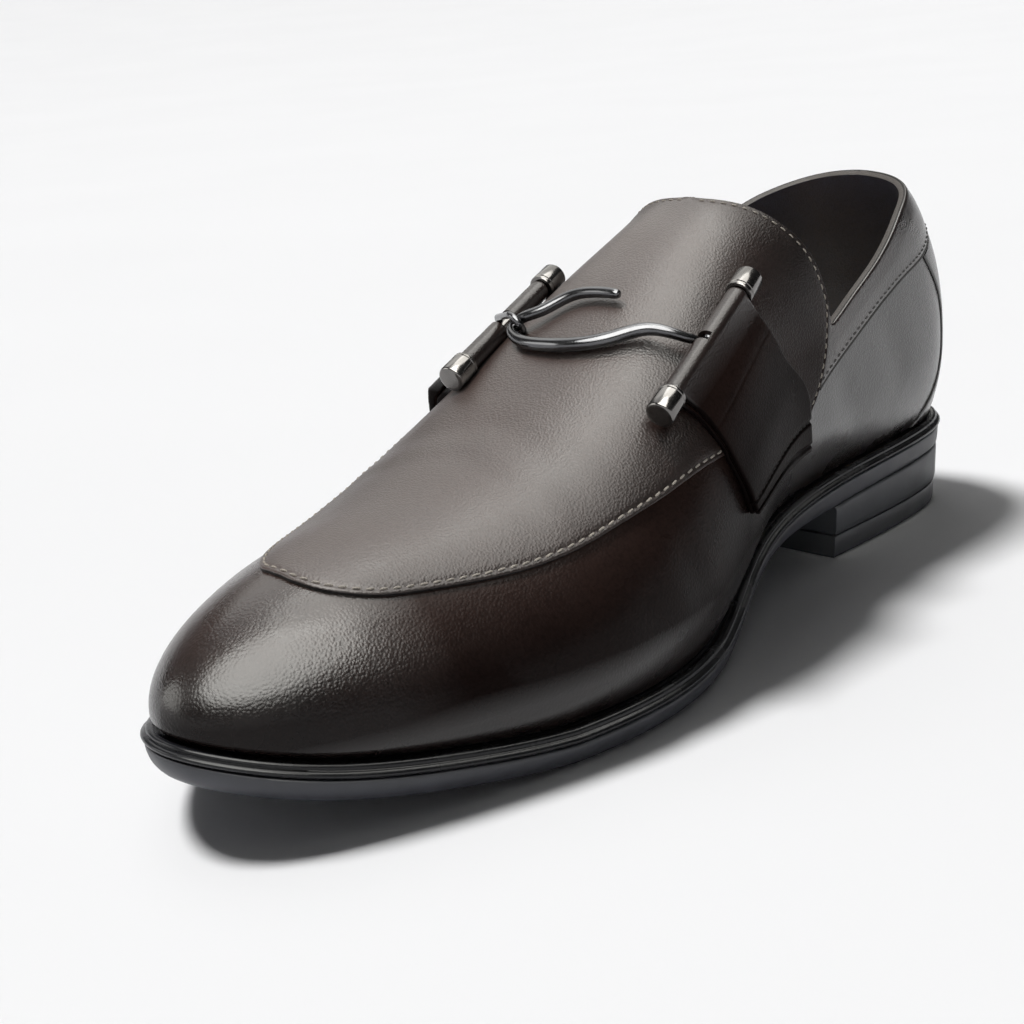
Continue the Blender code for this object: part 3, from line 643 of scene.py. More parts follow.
HALF, ENDS = half_turns()
COLS = np.concatenate([HALF, 2 * pi - HALF[-2:0:-1]])
COL_END = np.concatenate([ENDS["medial"], ENDS["lateral"][-2:0:-1]])
FRACTIONS = np.concatenate([np.linspace(0, 0.2, 15)[:-1], np.linspace(0.2, 1.0, 72)])


def build_net():
    """Points of the outside with shared ridge points, their normals, and four-sided cells."""
    n, m = len(COLS), len(FRACTIONS)
    turn = np.repeat(COLS[:, None], m, 1)
    rise = COL_END[:, None] * FRACTIONS[None]
    pts = place(*last(turn, rise)).reshape(-1, 3)
    index = np.arange(n * m).reshape(n, m)
    h = len(HALF)
    for i in range(h, n):                             # lateral columns share the medial ridge point
        j = n - i
        if COL_END[i] >= 1.0 and COL_END[j] >= 1.0:
            index[i, m - 1] = index[j, m - 1]
    i, j = np.meshgrid(np.arange(n), np.arange(m - 1), indexing="ij")
    i2 = (i + 1) % n
    cells = np.stack([index[i, j], index[i2, j], index[i2, j + 1], index[i, j + 1]], -1).reshape(-1, 4)
    return pts, turn.ravel(), rise.ravel(), cells, index


def net_normals(pts, cells):
    nrm = np.zeros_like(pts)
    for a, b, c in ((0, 1, 2), (0, 2, 3)):
        f = np.cross(pts[cells[:, b]] - pts[cells[:, a]], pts[cells[:, c]] - pts[cells[:, a]])
        for k in (a, b, c):
            np.add.at(nrm, cells[:, k], f)
    return unit(nrm)


NET, NET_TURN, NET_RISE, CELLS, INDEX = build_net()
if net_normals(NET, CELLS)[INDEX[len(HALF) // 2 + 40, -1]][2] < 0:
    CELLS = CELLS[:, ::-1]
NORMALS = net_normals(NET, CELLS)
NET_FOLD = fold_of(NET_TURN)
NET_ST = station_of(NET_FOLD)
NET_MEDIAL = np.mod(NET_TURN, 2 * pi) <= pi


def tree_of(points):
    t = kdtree.KDTree(len(points))
    for i, p in enumerate(points):
        t.insert(p, i)
    t.balance()
    return t


def distance_to(line, points):
    t = tree_of(line)
    return np.array([t.find(p)[2] for p in points])


def side_turn(side, station):
    t = turn_of(station)
    return t if side in ("medial", 1) else 2 * pi - t


# the worn troughs and ridges move the whole skin, so every layer follows them
def wear():
    shift = np.zeros(len(NET))
    for side, sa, ra, sb, rb, half, depth in zip(*(CREASES[k] for k in CREASES)):
        w = np.linspace(0, 1, 120)
        line = place(*last(side_turn(int(side), sa + (sb - sa) * w), ra + (rb - ra) * w))
        t = tree_of(line)
        near = [t.find(p) for p in NET]
        d = np.array([q[2] for q in near])
        along = np.array([q[1] for q in near]) / 119.0
        fade = np.sin(pi * np.clip(0.08 + 0.84 * along, 0, 1)) ** 0.7
        if rb >= 0.999:                               # a line that crosses the ridge goes on over it
            fade = np.where(along > 0.5, 1.0, fade)
        shift -= depth * fade * np.exp(-(d / half) ** 2)
    return shift


NET = NET + NORMALS * wear()[:, None]
NORMALS = net_normals(NET, CELLS)
NET_TREE = tree_of(NET)
TRIANGLES = np.concatenate([CELLS[:, [0, 1, 2]], CELLS[:, [0, 2, 3]]])
TRIANGLES = TRIANGLES[(TRIANGLES[:, 0] != TRIANGLES[:, 1]) & (TRIANGLES[:, 1] != TRIANGLES[:, 2])
                      & (TRIANGLES[:, 0] != TRIANGLES[:, 2])]


def on_net(points):
    """Nearest place on the worn skin, and the normal there."""
    out, nrm = np.zeros_like(points), np.zeros_like(points)
    for i, p in enumerate(points):
        found = NET_TREE.find_n(p, 4)
        w = np.array([1 / (f[2] + 0.05) ** 2 for f in found])
        n = unit((NORMALS[[f[1] for f in found]] * w[:, None]).sum(0))
        v = NET[found[0][1]]
        out[i] = p - n * np.dot(p - v, n)
        nrm[i] = n
    return out, nrm


def seam_line(side, stations, rises, count=1500):
    """Dense line over the upper through places given by station and rise."""
    turns = turn_of(stations)
    way = np.concatenate([[0], np.cumsum(np.hypot(np.diff(turns) * 100, np.diff(rises) * 100))])
    w = np.linspace(0, way[-1], count)
    t, r = spline(way, turns)(w), np.minimum(spline(way, rises)(w), 1.0)
    line, _ = on_net(place(*last(t if side == "medial" else 2 * pi - t, r)))
    return line, station_of(t), r


SEAM = {s: seam_line(s, APRON[s]["station"], APRON[s]["rise"]) for s in ("medial", "lateral")}


def apron_floor(side, station):
    """Rise of the apron's seam at a station; over 1 where there is no apron."""
    line, st, r = SEAM[side]
    return np.interp(station, st, r, left=2.0, right=2.0)


def free_edge():
    """Points along the collar and the tongue edge, both sides."""
    cols = [i for i in range(len(COLS)) if COL_END[i] < 0.9999]
    return NET[[INDEX[i, -1] for i in cols]], COLS[cols]


EDGE_LINE, EDGE_TURNS = free_edge()
_st = station_of(fold_of(EDGE_TURNS))
TONGUE_LINE = np.concatenate([EDGE_LINE[_st > CORNER_STATION + 0.0018], NET[[INDEX[len(HALF) // 2, -1]]][:0]])
COLLAR_LINE = EDGE_LINE[_st <= CORNER_STATION + 0.0001]


def cut(tri, field, level, store):
    """Split triangles where a field passes a level; store holds the point arrays to extend."""
    f = store[field]
    f[np.abs(f - level) < 0.06] = level
    s = np.sign(f - level)[tri]
    crossing = (s.min(1) < 0) & (s.max(1) > 0)
    out = [tri[~crossing]]
    made, cache, new = [], {}, {k: [] for k in store}
    count = len(f)

    def between(a, b):
        nonlocal count
        key = (min(a, b), max(a, b))
        if key not in cache:
            w = (level - f[key[0]]) / (f[key[1]] - f[key[0]])
            for k, v in store.items():
                new[k].append(v[key[0]] * (1 - w) + v[key[1]] * w)
            new[field][-1] = level
            cache[key] = count
            count += 1
        return cache[key]
    for t in tri[crossing]:
        up, down = [], []
        for a, b in zip(t, np.roll(t, -1)):
            sa, sb = np.sign(f[a] - level), np.sign(f[b] - level)
            if sa >= 0:
                up.append(a)
            if sa <= 0:
                down.append(a)
            if sa * sb < 0:
                p = between(int(a), int(b))
                up.append(p)
                down.append(p)
        for poly in (up, down):
            made += [(poly[0], poly[i], poly[i + 1]) for i in range(1, len(poly) - 1)]
    if made:
        out.append(np.array(made, int))
    for k in store:
        if new[k]:
            store[k] = np.concatenate([store[k], np.array(new[k])])
    return np.concatenate(out)


def overlay(name, inside, seams, edges, profile, material, levels, tone, base=-0.35, **kw):
    """Panel of leather lying on the skin: cut along its seams, with a shaped border and a closed underside."""
    seam_gap = np.min([distance_to(s, NET) for s in seams], 0)
    edge_gap = np.min([distance_to(e, NET) for e in edges], 0) if edges else np.full(len(NET), 999.0)
    store = {"p": NET.copy(), "n": NORMALS.copy(), "f": np.where(inside, seam_gap, -seam_gap), "e": edge_gap,
             "tone": tone.astype(float)}
    tri = TRIANGLES[(store["f"][TRIANGLES] > 0).any(1)]
    tri = cut(tri, "f", 0.0, store)
    tri = tri[(store["f"][tri] >= -1e-9).all(1) & (store["f"][tri].max(1) > 1e-9)]
    store["d"] = np.minimum(store["f"], store["e"])
    for level in levels:
        tri = cut(tri, "d", level, store)
    used = np.unique(tri)
    remap = np.full(len(store["d"]), -1)
    remap[used] = np.arange(len(used))
    tri = remap[tri]
    p, n, d, tn = store["p"][used], unit(store["n"][used]), store["d"][used], store["tone"][used]
    high = p + n * np.interp(d, *profile)[:, None]
    low = p + n * base
    count = len(p)
    half = {}
    for t in tri:
        for a, b in zip(t, np.roll(t, -1)):
            half[(int(a), int(b))] = True
    walls = [(b, a, a + count, b + count) for a, b in half if (b, a) not in half]
    faces = [tuple(t) for t in tri] + [tuple(t[::-1] + count) for t in tri] + walls
    kinds = [0] * len(tri) + [0] * len(tri) + [1] * len(walls)
    # the walls take the near-black edge colour, which is partly painted shade of the gap under the panel's edge
    return add_object(name, np.concatenate([high, low]), faces, [material, SEAM_EDGE_AND_SHADE], kinds, slot="upper_leather",
                      tone=np.concatenate([tn, tn]), **kw)


# ---------------------------------------------------------------- upper shell
def shell_tone():
    """Burnished near black low down and round the toe, browner towards the apron."""
    front = smooth(0.32, 0.55, NET_ST)
    up = smooth(0.16, 0.62, NET_RISE)
    tip = 1 - 0.35 * smooth(0.90, 1.0, NET_ST) * (1 - smooth(0.4, 0.9, NET_RISE))
    return np.clip((0.10 + 0.56 * up * front + 0.20 * up * (1 - front)) * tip, 0, 1)


def make_shell():
    faces = [list(dict.fromkeys(c)) for c in CELLS.tolist()]
    used = np.unique(CELLS)
    remap = np.full(len(NET), -1)
    remap[used] = np.arange(len(used))
    faces = [[remap[v] for v in f] for f in faces]
    ob = add_object("upper_shell", NET[used], faces, [VAMP, LINING, CUT_EDGE], slot="upper_leather", nodes=("upper",),
                    flat_over=180, tone=shell_tone()[used])
    wall = ob.modifiers.new("wall", "SOLIDIFY")
    wall.thickness = (WALL - 0.1) * MM
    wall.offset = -1.0
    wall.use_quality_normals = True
    wall.material_offset = 1
    wall.material_offset_rim = 2
    soft = ob.modifiers.new("edge", "BEVEL")
    soft.width = 0.6 * MM
    soft.segments = 3
    soft.limit_method = "ANGLE"
    soft.angle_limit = radians(55)
    return ob


make_shell()

# ------------------------------------------------------------------ overlays
IN_APRON = np.zeros(len(NET), bool)
for _side, _mask in (("medial", NET_MEDIAL), ("lateral", ~NET_MEDIAL)):
    IN_APRON |= _mask & (NET_RISE > apron_floor(_side, NET_ST))
IN_APRON |= NET_ST > 2.0
APRON_TONE = np.clip(0.50 + 0.42 * smooth(0.55, 0.95, NET_RISE) * smooth(0.36, 0.46, NET_ST)
                     - 0.12 * (1 - smooth(0.33, 0.42, NET_ST)), 0, 1)
overlay("apron", IN_APRON, [SEAM["medial"][0], SEAM["lateral"][0]], [TONGUE_LINE],
        ((0, 0.25, 0.6, 0.95, 1.3, 1.7, 2.3, 3.2, 8, 25), (0.78, 1.06, 1.12, 1.04, 0.94, 1.05, 1.18, 1.22, 1.22, 1.20)),
        APRON_SKIN, (0.25, 0.6, 0.95, 1.3, 1.7, 2.3, 3.2), APRON_TONE, flat_over=50)

# collar band: from the collar's edge to its lower seam, behind the apron
_band_lines = []
for _side in ("medial", "lateral"):
    _s = np.linspace(0.0, 0.36, 700)
    _t = side_turn(_side, _s)
    _lo, _hi = np.full(len(_s), 0.0), np.full(len(_s), 0.9)
    for _ in range(40):
        _mid = (_lo + _hi) / 2
        _low = last(_t, _mid)[2] < BAND_Z(_s)
        _lo, _hi = np.where(_low, _mid, _lo), np.where(_low, _hi, _mid)
    _band_lines.append(on_net(place(*last(_t, _lo)))[0])
BEHIND = ~IN_APRON & (NET_ST < 0.345)
IN_BAND = BEHIND & (NET[:, 2] > BAND_Z(np.clip(NET_ST, 0, 0.36)))
_near_front = [SEAM[s][0][SEAM[s][1] < 0.36] for s in ("medial", "lateral")]
overlay("collar_band", IN_BAND, _band_lines + _near_front, [COLLAR_LINE],
        ((0, 0.3, 0.8, 1.6, 6, 15), (0.20, 0.48, 0.62, 0.66, 0.85, 0.85)),
        VAMP, (0.3, 0.8, 1.6), np.full(len(NET), 0.42), flat_over=50)

# heel counter: low panel round the back of the heel
_counter_lines = []
for _side in ("medial", "lateral"):
    _r = np.linspace(-0.02, 0.46, 500)
    _counter_lines.append(on_net(place(*last(side_turn(_side, spline(COUNTER["rise"], COUNTER["station"])(_r)), np.maximum(_r, 0))))[0])
IN_COUNTER = (NET_ST < spline(COUNTER["rise"], COUNTER["station"])(np.clip(NET_RISE, -0.02, 0.46))) & (NET[:, 2] < BAND_Z(np.clip(NET_ST, 0, 0.36)))
overlay("heel_counter", IN_COUNTER, _counter_lines + _band_lines, [],
        ((0, 0.3, 0.8, 1.6, 6), (0.25, 0.5, 0.62, 0.66, 0.75)),
        VAMP, (0.3, 0.8, 1.6), np.full(len(NET), 0.10), flat_over=50)


# ------------------------------------------------------------------ stitching
def arc_points(line, pitch, start=0.0, stop=None):
    way = np.concatenate([[0], np.cumsum(np.linalg.norm(np.diff(line, axis=0), axis=1))])
    stop = way[-1] if stop is None else way[-1] - stop
    at = np.arange(start, stop, pitch)
    p = np.stack([np.interp(at, way, line[:, k]) for k in range(3)], -1)
    t = unit(np.stack([np.interp(at + 0.6, way, line[:, k]) for k in range(3)], -1)
             - np.stack([np.interp(at - 0.6, way, line[:, k]) for k in range(3)], -1))
    return p, t


def stitches(name, rows, material, length=2.5, radius=0.30, slant=0.0):
    """Separate stitches, each a short bowed thread whose ends go into the leather."""
    sides, steps = 7, 7
    points, faces = [], []
    for centre, along, normal in rows:
        for c, t, n in zip(centre, along, normal):
            t = unit(t - n * np.dot(t, n))
            b = np.cross(n, t)
            t = unit(t + b * slant)
            w = np.linspace(-1, 1, steps)
            path = c + t * (w * length / 2)[:, None] + n * (0.16 - 0.55 * w ** 4)[:, None]
            ring = tube_points(path, radius * (1 - 0.35 * w ** 4), sides)
            k = len(points) * steps * sides
            points.append(ring.reshape(-1, 3))
            faces += [list(f) for f in grid_faces(steps, sides, wrap_m=True, start=k)]
            faces += [list(range(k, k + sides)), list(range(k + (steps - 1) * sides, k + steps * sides))[::-1]]
    return face_out(add_object(name, np.concatenate(points), faces, [material], slot="upper_leather"))


def row_inside(line, offset, lift, pitch, start=0.0, stop=None, towards=None):
    """Stitch places at a distance to one side of a line on the skin."""
    p, t = arc_points(line, pitch, start, stop)
    _, n = on_net(p)
    b = np.cross(n, t)
    if towards is not None:
        b = np.where((np.einsum("ij,ij->i", b, towards - p) > 0)[:, None], b, -b)
    q, n = on_net(p + b * offset)
    return q + n * lift, t, n


RIDGE_MID = place(2.0, 190.0, 62.0)
_rows = []
for _side in ("medial", "lateral"):
    line, st, r = SEAM[_side]
    _rows.append(row_inside(line[st > 0.46], 1.3, 0.96, 3.05, towards=RIDGE_MID))
stitches("apron_stitches", _rows, CREAM_THREAD, length=2.0, radius=0.27, slant=0.12)
_rows = []
for _side in ("medial", "lateral"):
    mask = (EDGE_TURNS <= pi) if _side == "medial" else (EDGE_TURNS > pi)
    mask = mask & (_st > CORNER_STATION + 0.0018)
    edge_part = EDGE_LINE[mask]
    if _side == "lateral":
        edge_part = edge_part[::-1]
    line, st, r = SEAM[_side]
    low_part = line[(st < 0.345)][::-1]
    _rows.append(row_inside(np.concatenate([low_part[low_part[:, 2] < edge_part[0][2] - 0.5], edge_part]), 1.35, 0.96, 2.9, 0.5, 0.5,
                            towards=place(0.0, 150.0, 90.0)))
stitches("tongue_stitches", _rows, CREAM_THREAD, length=1.7, radius=0.23)
_rows = [row_inside(l[::-1], 1.6, 0.62, 2.6, 0.5, 0.5, towards=place(0.0, 60.0, 120.0)) for l in _band_lines]
_rows = [tuple(a[[NET_ST[NET_TREE.find(q)[1]] < 0.33 for q in row[0]]] for a in row) for row in _rows]
stitches("collar_stitches", _rows, DARK_THREAD, length=1.8, radius=0.2)

# dark piping in the collar seam
for _side, _line in zip(("medial", "lateral"), _band_lines):
    _p, _n = on_net(_line[:640:4])
    tube("collar_piping_" + _side, _p + _n * 0.18, 0.5, [DARK_THREAD], sides=10, slot="upper_leather")


# -------------------------------------------------------------- sole and heel
RING = COLS


def heel_share(u):
    return np.clip((0.36 - u / LENGTH) / 0.08, 0, 1)


def sole_ring(inset, inset_heel, height):
    k = heel_share(LENGTH * station_of(RING))
    x, u = edge(RING, inset * (1 - k) + inset_heel * k)
    return place(x, u, height(u))


LEDGE = WELT_HEIGHT + GAP
SIDEWALL = table(
    "inset inset_heel rise rise_heel",
    (7.0, 4.0, 0.0, 0.0), (5.2, 2.6, 0.0, 0.0), (4.4, 2.0, 0.04, 0.02), (3.4, 1.5, 0.25, 0.10), (2.5, 1.2, 0.70, 0.30),
    (1.8, 1.0, 1.35, 0.60), (1.3, 0.9, 2.10, 1.20), (0.95, 0.8, 3.0, 2.2), (0.7, 0.7, 4.0, 3.6), (0.6, 0.65, 5.0, 4.8))
_rings = [sole_ring(i, ih, lambda u, a=a, b=b: under_z(u) + a * (1 - heel_share(u)) + b * heel_share(u))
          for i, ih, a, b in zip(*(SIDEWALL[k] for k in SIDEWALL))]
for i, drop in ((0.62, 0.55), (0.75, 0.22), (1.1, 0.04), (1.6, 0.0), (WELT_WIDTH + GAP, 0.0)):
    _rings.append(sole_ring(i, i, lambda u, d=drop: welt_z(u) - LEDGE - d))
_rings.append(sole_ring(WELT_WIDTH + GAP, WELT_WIDTH + GAP, welt_z))
ring_solid("outsole_fine", _rings, [SOLE], slot="sole_rubber", nodes=("outsole",), flat_over=50)

# two beads with a groove between them, and a channel along the upper
WELT_PROFILE = table(
    "inset drop",
    (WELT_WIDTH, WELT_HEIGHT), (WELT_WIDTH, 0.0), (6.2, 0.0), (5.3, 0.10), (4.6, 0.55), (4.1, 0.80), (3.6, 0.62), (3.2, 0.20),
    (2.8, -0.02), (2.3, -0.06), (1.8, 0.06), (1.4, 0.34), (1.2, 0.72), (1.28, 1.08), (1.22, 1.30), (0.85, 1.45), (0.40, 1.68),
    (0.08, 2.05), (0.0, 2.40), (0.15, 2.78), (0.55, 3.08), (1.2, WELT_HEIGHT))
_rings = []
for i, d in zip(WELT_PROFILE["inset"], WELT_PROFILE["drop"]):
    x, u = edge(RING, i)
    _rings.append(place(x, u, welt_z(u) - d))
_welt = np.asarray(_rings)
face_out(add_object("welt_fine", _welt.reshape(-1, 3), grid_faces(*_welt.shape[:2], wrap_n=True, wrap_m=True), [BEAD],
                    slot="sole_rubber", nodes=("welt",), flat_over=60))


def heel_turns(count=60):
    end = float(turn_of(HEEL_BREAST / LENGTH))
    half = np.linspace(0, end, count)
    return np.concatenate([half, 2 * pi - half[::-1][:-1]])


def heel_ring(inset, height, set_back=0.0):
    x, u = edge(heel_turns(), inset)
    u = np.minimum(u, HEEL_BREAST - set_back)
    n = len(u) // 2
    u[n:n + 2] = HEEL_BREAST - set_back
    return place(x, u, height(u))


def heel_solid(name, levels, nodes):
    ring_solid(name, [heel_ring(i, h, b) for i, h, b in levels], [HEEL], slot="heel_rubber", nodes=nodes, flat_over=40)


_top = lambda d: (lambda u: under_z(u) - GAP - d)
_up = lambda d: (lambda u: HEEL_LIFT + GAP + d + 0.0 * u)
_lift = lambda d: (lambda u: d + 0.0 * u)
heel_solid("heel_block_fine", [(2.4, _up(0.0), 0.5), (1.8, _up(0.15), 0.15), (1.5, _up(0.5), 0.0), (1.25, _up(2.0), 0.0),
                               (1.1, _top(1.2), 0.0), (1.2, _top(0.5), 0.0), (1.5, _top(0.15), 0.15), (2.1, _top(0.0), 0.5)], ("heel_block",))
heel_solid("heel_top_fine", [(3.2, _lift(0.0), 0.9), (2.5, _lift(0.18), 0.35), (2.1, _lift(0.7), 0.05), (1.85, _lift(2.2), 0.0),
                             (1.7, _lift(HEEL_LIFT - 0.6), 0.0), (1.9, _lift(HEEL_LIFT - 0.2), 0.1), (2.5, _lift(HEEL_LIFT), 0.5)],
           ("heel_top_piece",))

# footbed: slightly cupped, with a rounded edge
_rings = []
for i, h in ((INSOLE_INSET, 0.0), (INSOLE_INSET, INSOLE_THICKNESS - 0.9), (INSOLE_INSET + 0.25, INSOLE_THICKNESS - 0.35),
             (INSOLE_INSET + 0.9, INSOLE_THICKNESS - 0.02), (INSOLE_INSET + 3.0, INSOLE_THICKNESS), (INSOLE_INSET + 9.0, INSOLE_THICKNESS - 0.35),
             (INSOLE_INSET + 14.0, INSOLE_THICKNESS - 0.5)):
    x, u = edge(RING, i)
    _rings.append(place(x, u, welt_z(u) + GAP + h))
_n = sum(len(r) for r in _rings)
ring_solid("insole_fine", _rings, [FOOTBED], slot="footbed", nodes=("insole",), flat_over=60, tone=np.full(_n, 0.55))


# ------------------------------------------------------------------- bit bars
def bar_frame(side):
    a, b = (place(*p) for p in BAR_ENDS[side])
    return a, b, unit(b - a)


def make_bar(side):
    """Turned bar: two flat-ended caps with eased rims, a thin ring at each cap, and the rod."""
    a, b, axis = bar_frame(side)
    half = np.linalg.norm(b - a) / 2
    c, e = CAP_RADIUS, half - CAP_LENGTH
    profile = [(0.0, half), (c - 1.1, half), (c - 0.55, half - 0.06), (c - 0.2, half - 0.25), (c, half - 0.6), (c, e + 1.5),
               (c - 0.18, e + 1.35), (c - 0.18, e + 1.05), (c, e + 0.9), (c, e + 0.35), (c - 0.12, e + 0.1), (c - 0.4, e), (ROD_RADIUS, e)]
    profile = profile + [(r, -h) for r, h in reversed(profile)]
    side_v = unit(np.cross(axis, [0.0, 0.0, 1.0]))
    up = np.cross(side_v, axis)
    count = 48
    g = np.linspace(0, 2 * pi, count, endpoint=False)
    mid = (a + b) / 2
    points = [mid + axis * profile[0][1]]
    for r, h in profile[1:-1]:
        points += list(mid + axis * h + r * (np.cos(g)[:, None] * side_v + np.sin(g)[:, None] * up))
    points.append(mid + axis * profile[-1][1])
    rows = len(profile) - 2
    faces = [list(f) for f in grid_faces(rows, count, wrap_m=True, start=1)]
    top, end = 0, len(points) - 1
    faces += [[top, 1 + (j + 1) % count, 1 + j] for j in range(count)]
    base = 1 + (rows - 1) * count
    faces += [[end, base + j, base + (j + 1) % count] for j in range(count)]
    face_out(add_object("bar_fine_" + side, points, faces, [GUNMETAL], slot="gunmetal", nodes=("bar_" + side,), flat_over=38))


# --------------------------------------------------------------------- straps
def strap_turns(side, rise, reach):
    """Turns at which the upper lies at given distances along the side's bar."""
    a, b, axis = bar_frame(side)
    lo = np.full(rise.shape, float(turn_of(0.2)))
    hi = np.full(rise.shape, float(turn_of(0.8)))
    for _ in range(42):
        mid = (lo + hi) / 2
        p = place(*last(mid if side == "medial" else 2 * pi - mid, rise))
        low = (p - a) @ axis < reach
        lo, hi = np.where(low, mid, lo), np.where(low, hi, mid)
    return lo if side == "medial" else 2 * pi - lo


def make_strap(side):
    """Leather strap folded round the rod: outer layer up, round, and inner layer down."""
    a, b, axis = bar_frame(side)
    span = np.linalg.norm(b - a)
    inner = CAP_LENGTH + GAP
    width = span - 2 * inner
    # the medial sleeve is slit only where the hook comes out; the lateral one leaves room for the link
    notch = (NOTCH_WIDTH if side == "lateral" else 2.9) / width / 2
    rim = np.array([0, 0.12, 0.35, 0.8]) / width
    across = np.unique(np.round(np.concatenate([
        rim, np.linspace(rim[-1], 0.5 - notch, 20), [0.5 - notch, 0.5 + notch], np.linspace(0.5 - notch, 0.5 + notch, 6),
        np.linspace(0.5 + notch, 1 - rim[-1], 20), 1 - rim]), 6))
    along = np.unique(np.concatenate([np.linspace(0.15, 0.24, 8), np.linspace(0.24, 0.32, 14), np.linspace(0.32, 0.86, 26),
                                      np.linspace(0.86, 0.90, 10), np.linspace(0.90, 0.95, 5), np.linspace(0.95, 1.0, 11)]))[::-1]
    W, A = np.meshgrid(along, across, indexing="ij")
    pick = lambda k: spline(STRAP["along"], STRAP[k])(W)
    rise = pick("rise") + pick("slant") * A
    reach = pick("rear") * (1 - A) + pick("front") * A
    turn = strap_turns(side, rise, reach)
    station = station_of(fold_of(turn))
    over = smooth(-1.5, 1.0, (rise - apron_floor(side, station)) * 95.0)
    low = 0.15 + 0.95 * over
    # rising to the sleeve, a fine pressed line across, a groove over the sewn-down end
    rest = np.interp(A, across, np.linalg.norm(skin(turn[-1], rise[-1], 0 * across) - (a + axis * (inner + width * across)[:, None]), axis=1))
    top = (STRAP_TOP + (0.30 * rest - 0.35) * smooth(0.58, 0.06, W) - 0.09 * np.exp(-((W - 0.235 - 0.02 * A) / 0.008) ** 2)
           - 0.75 * np.exp(-((W - 0.875) / 0.008) ** 2) - 0.55 * np.exp(-((W - 0.968) / 0.008) ** 2)
           + 0.22 * np.exp(-((W - 0.60) / 0.12) ** 2) * np.sin(pi * A))
    middle = low + (top - low) * 0.5
    lay = lambda lift: skin(turn, rise, lift)
    faces_out, faces_mid_up, faces_mid_low, faces_in = lay(top), lay(middle + 0.07), lay(middle - 0.07), lay(low)
    centre = a + axis * (inner + width * across)[:, None]
    down = faces_out[-1] - centre
    down = unit(down - (down @ axis)[:, None] * axis)
    lift = np.cross(down, axis)
    lift = np.where(lift[:, 2:3] < 0, -lift, lift)

    def arc(radius, start, stop, count):
        g = np.radians(np.linspace(start, stop, count))[:, None, None]
        return centre + (down * np.cos(g) + lift * np.sin(g)) * radius
    first = 60.0
    outside = np.concatenate([faces_out, arc(SLEEVE_RADIUS, first, 318, 34), faces_in[::-1]])
    inside = np.concatenate([faces_mid_up, arc(ROD_RADIUS + 0.15, 32, 330, 34), faces_mid_low[::-1]])
    # ease the rims: both faces draw towards the middle of the layer at the cut sides
    n, m = outside.shape[:2]
    for j, share in ((0, 0.30), (1, 0.12), (2, 0.03), (m - 1, 0.30), (m - 2, 0.12), (m - 3, 0.03)):
        o, i = outside[:, j].copy(), inside[:, j].copy()
        outside[:, j], inside[:, j] = o + (i - o) * share, i + (o - i) * share
    keep = np.ones((n - 1, m - 1), bool)
    mid_a = (across[:-1] + across[1:]) / 2
    slit_from = 0 if side == "lateral" else int(33 * (112 - first) / (318 - first))
    head0, head1 = len(along) + (slit_from if slit_from else -3), len(along) + 34 + 2
    for j in np.where(np.abs(mid_a - 0.5) < notch - 1e-6)[0]:
        keep[head0:head1, j] = False
    W2 = np.concatenate([along, np.full(34, 0.1), along[::-1]])
    # painted shade: the strap is lighter up at the sleeve and darker from partway down to its sewn-down end
    tone = 0.16 + 0.26 * smooth(0.62, 0.2, W2)
    # painted shade: near black lines along the two grooves over the strap's end
    tone *= 1 - 0.95 * np.exp(-((W2 - 0.875) / 0.009) ** 2) - 0.95 * np.exp(-((W2 - 0.968) / 0.009) ** 2)
    tone = np.repeat(np.clip(tone, 0.0, 1.0)[:, None], m, 1)
    tone[:, [0, 1, m - 2, m - 1]] = 0.02
    ribbon("strap_fine_" + side, outside, inside, [STRAP_SKIN], keep, slot="strap_leather", nodes=("strap_" + side,),
           flat_over=55, tone=np.concatenate([tone.ravel(), tone.ravel()]))
    # rows of dark stitches in the groove over the strap's end
    k = int(np.argmin(np.abs(along - 0.875)))
    line = faces_out[k][3:-3]
    nrm = unit(faces_out[k][3:-3] - faces_in[k][3:-3])
    p, t = arc_points(line, 2.4, 1.0, 1.0)
    idx = [int(np.argmin(np.linalg.norm(line - q, axis=1))) for q in p]
    return p + nrm[idx] * 0.1, t, nrm[idx]


_rows = []
for _side in ("medial", "lateral"):
    make_bar(_side)
    _rows.append(make_strap(_side))
stitches("strap_stitches", _rows, DARK_THREAD, length=1.8, radius=0.24)


# --------------------------------------------------------------- hook and eye
def make_hook():
    a, b, axis = bar_frame("medial")
    centre = (a + b) / 2
    slim = 0.62                                       # the ring lies within the sleeve's thickness
    first = place(*(HOOK[k][0] for k in ("x", "u", "z")))
    out = first - centre
    out = unit(out - axis * np.dot(out, axis))
    side = np.cross(axis, out)
    side = -side if side[2] > 0 else side
    g = np.radians(np.linspace(-60, -345, 34))[:, None]
    loop = centre + (out * np.cos(g) + side * np.sin(g)) * (ROD_RADIUS + 0.12 + slim)
    steps = np.linspace(0, 1, len(HOOK["x"]))
    fine = np.linspace(0, 1, 170)
    path = place(*(spline(steps, HOOK[k])(fine) for k in ("x", "u", "z")))
    thick = HOOK_RADIUS * spline(steps, HOOK["thickness"])(fine)
    thick[-5:] *= np.array([0.995, 0.98, 0.94, 0.86, 0.70])
    # a straight run joins the ring to the arm
    gap = np.linspace(0, 1, 8)[1:-1, None]
    join = loop[-1] + (path[0] - loop[-1]) * gap
    loop_r = np.full(len(loop), slim)
    loop_r[:3] *= np.array([0.5, 0.8, 0.97])
    join_r = thick[0] * (1 - 0.4 * (1 - gap[:, 0]) ** 4)
    joined = np.concatenate([loop, join, path])
    radius = np.concatenate([loop_r, join_r, thick])
    return tube("hook_fine", joined, radius, [DARK_METAL], sides=24, slot="gunmetal", nodes=("hook",), flat_over=60)


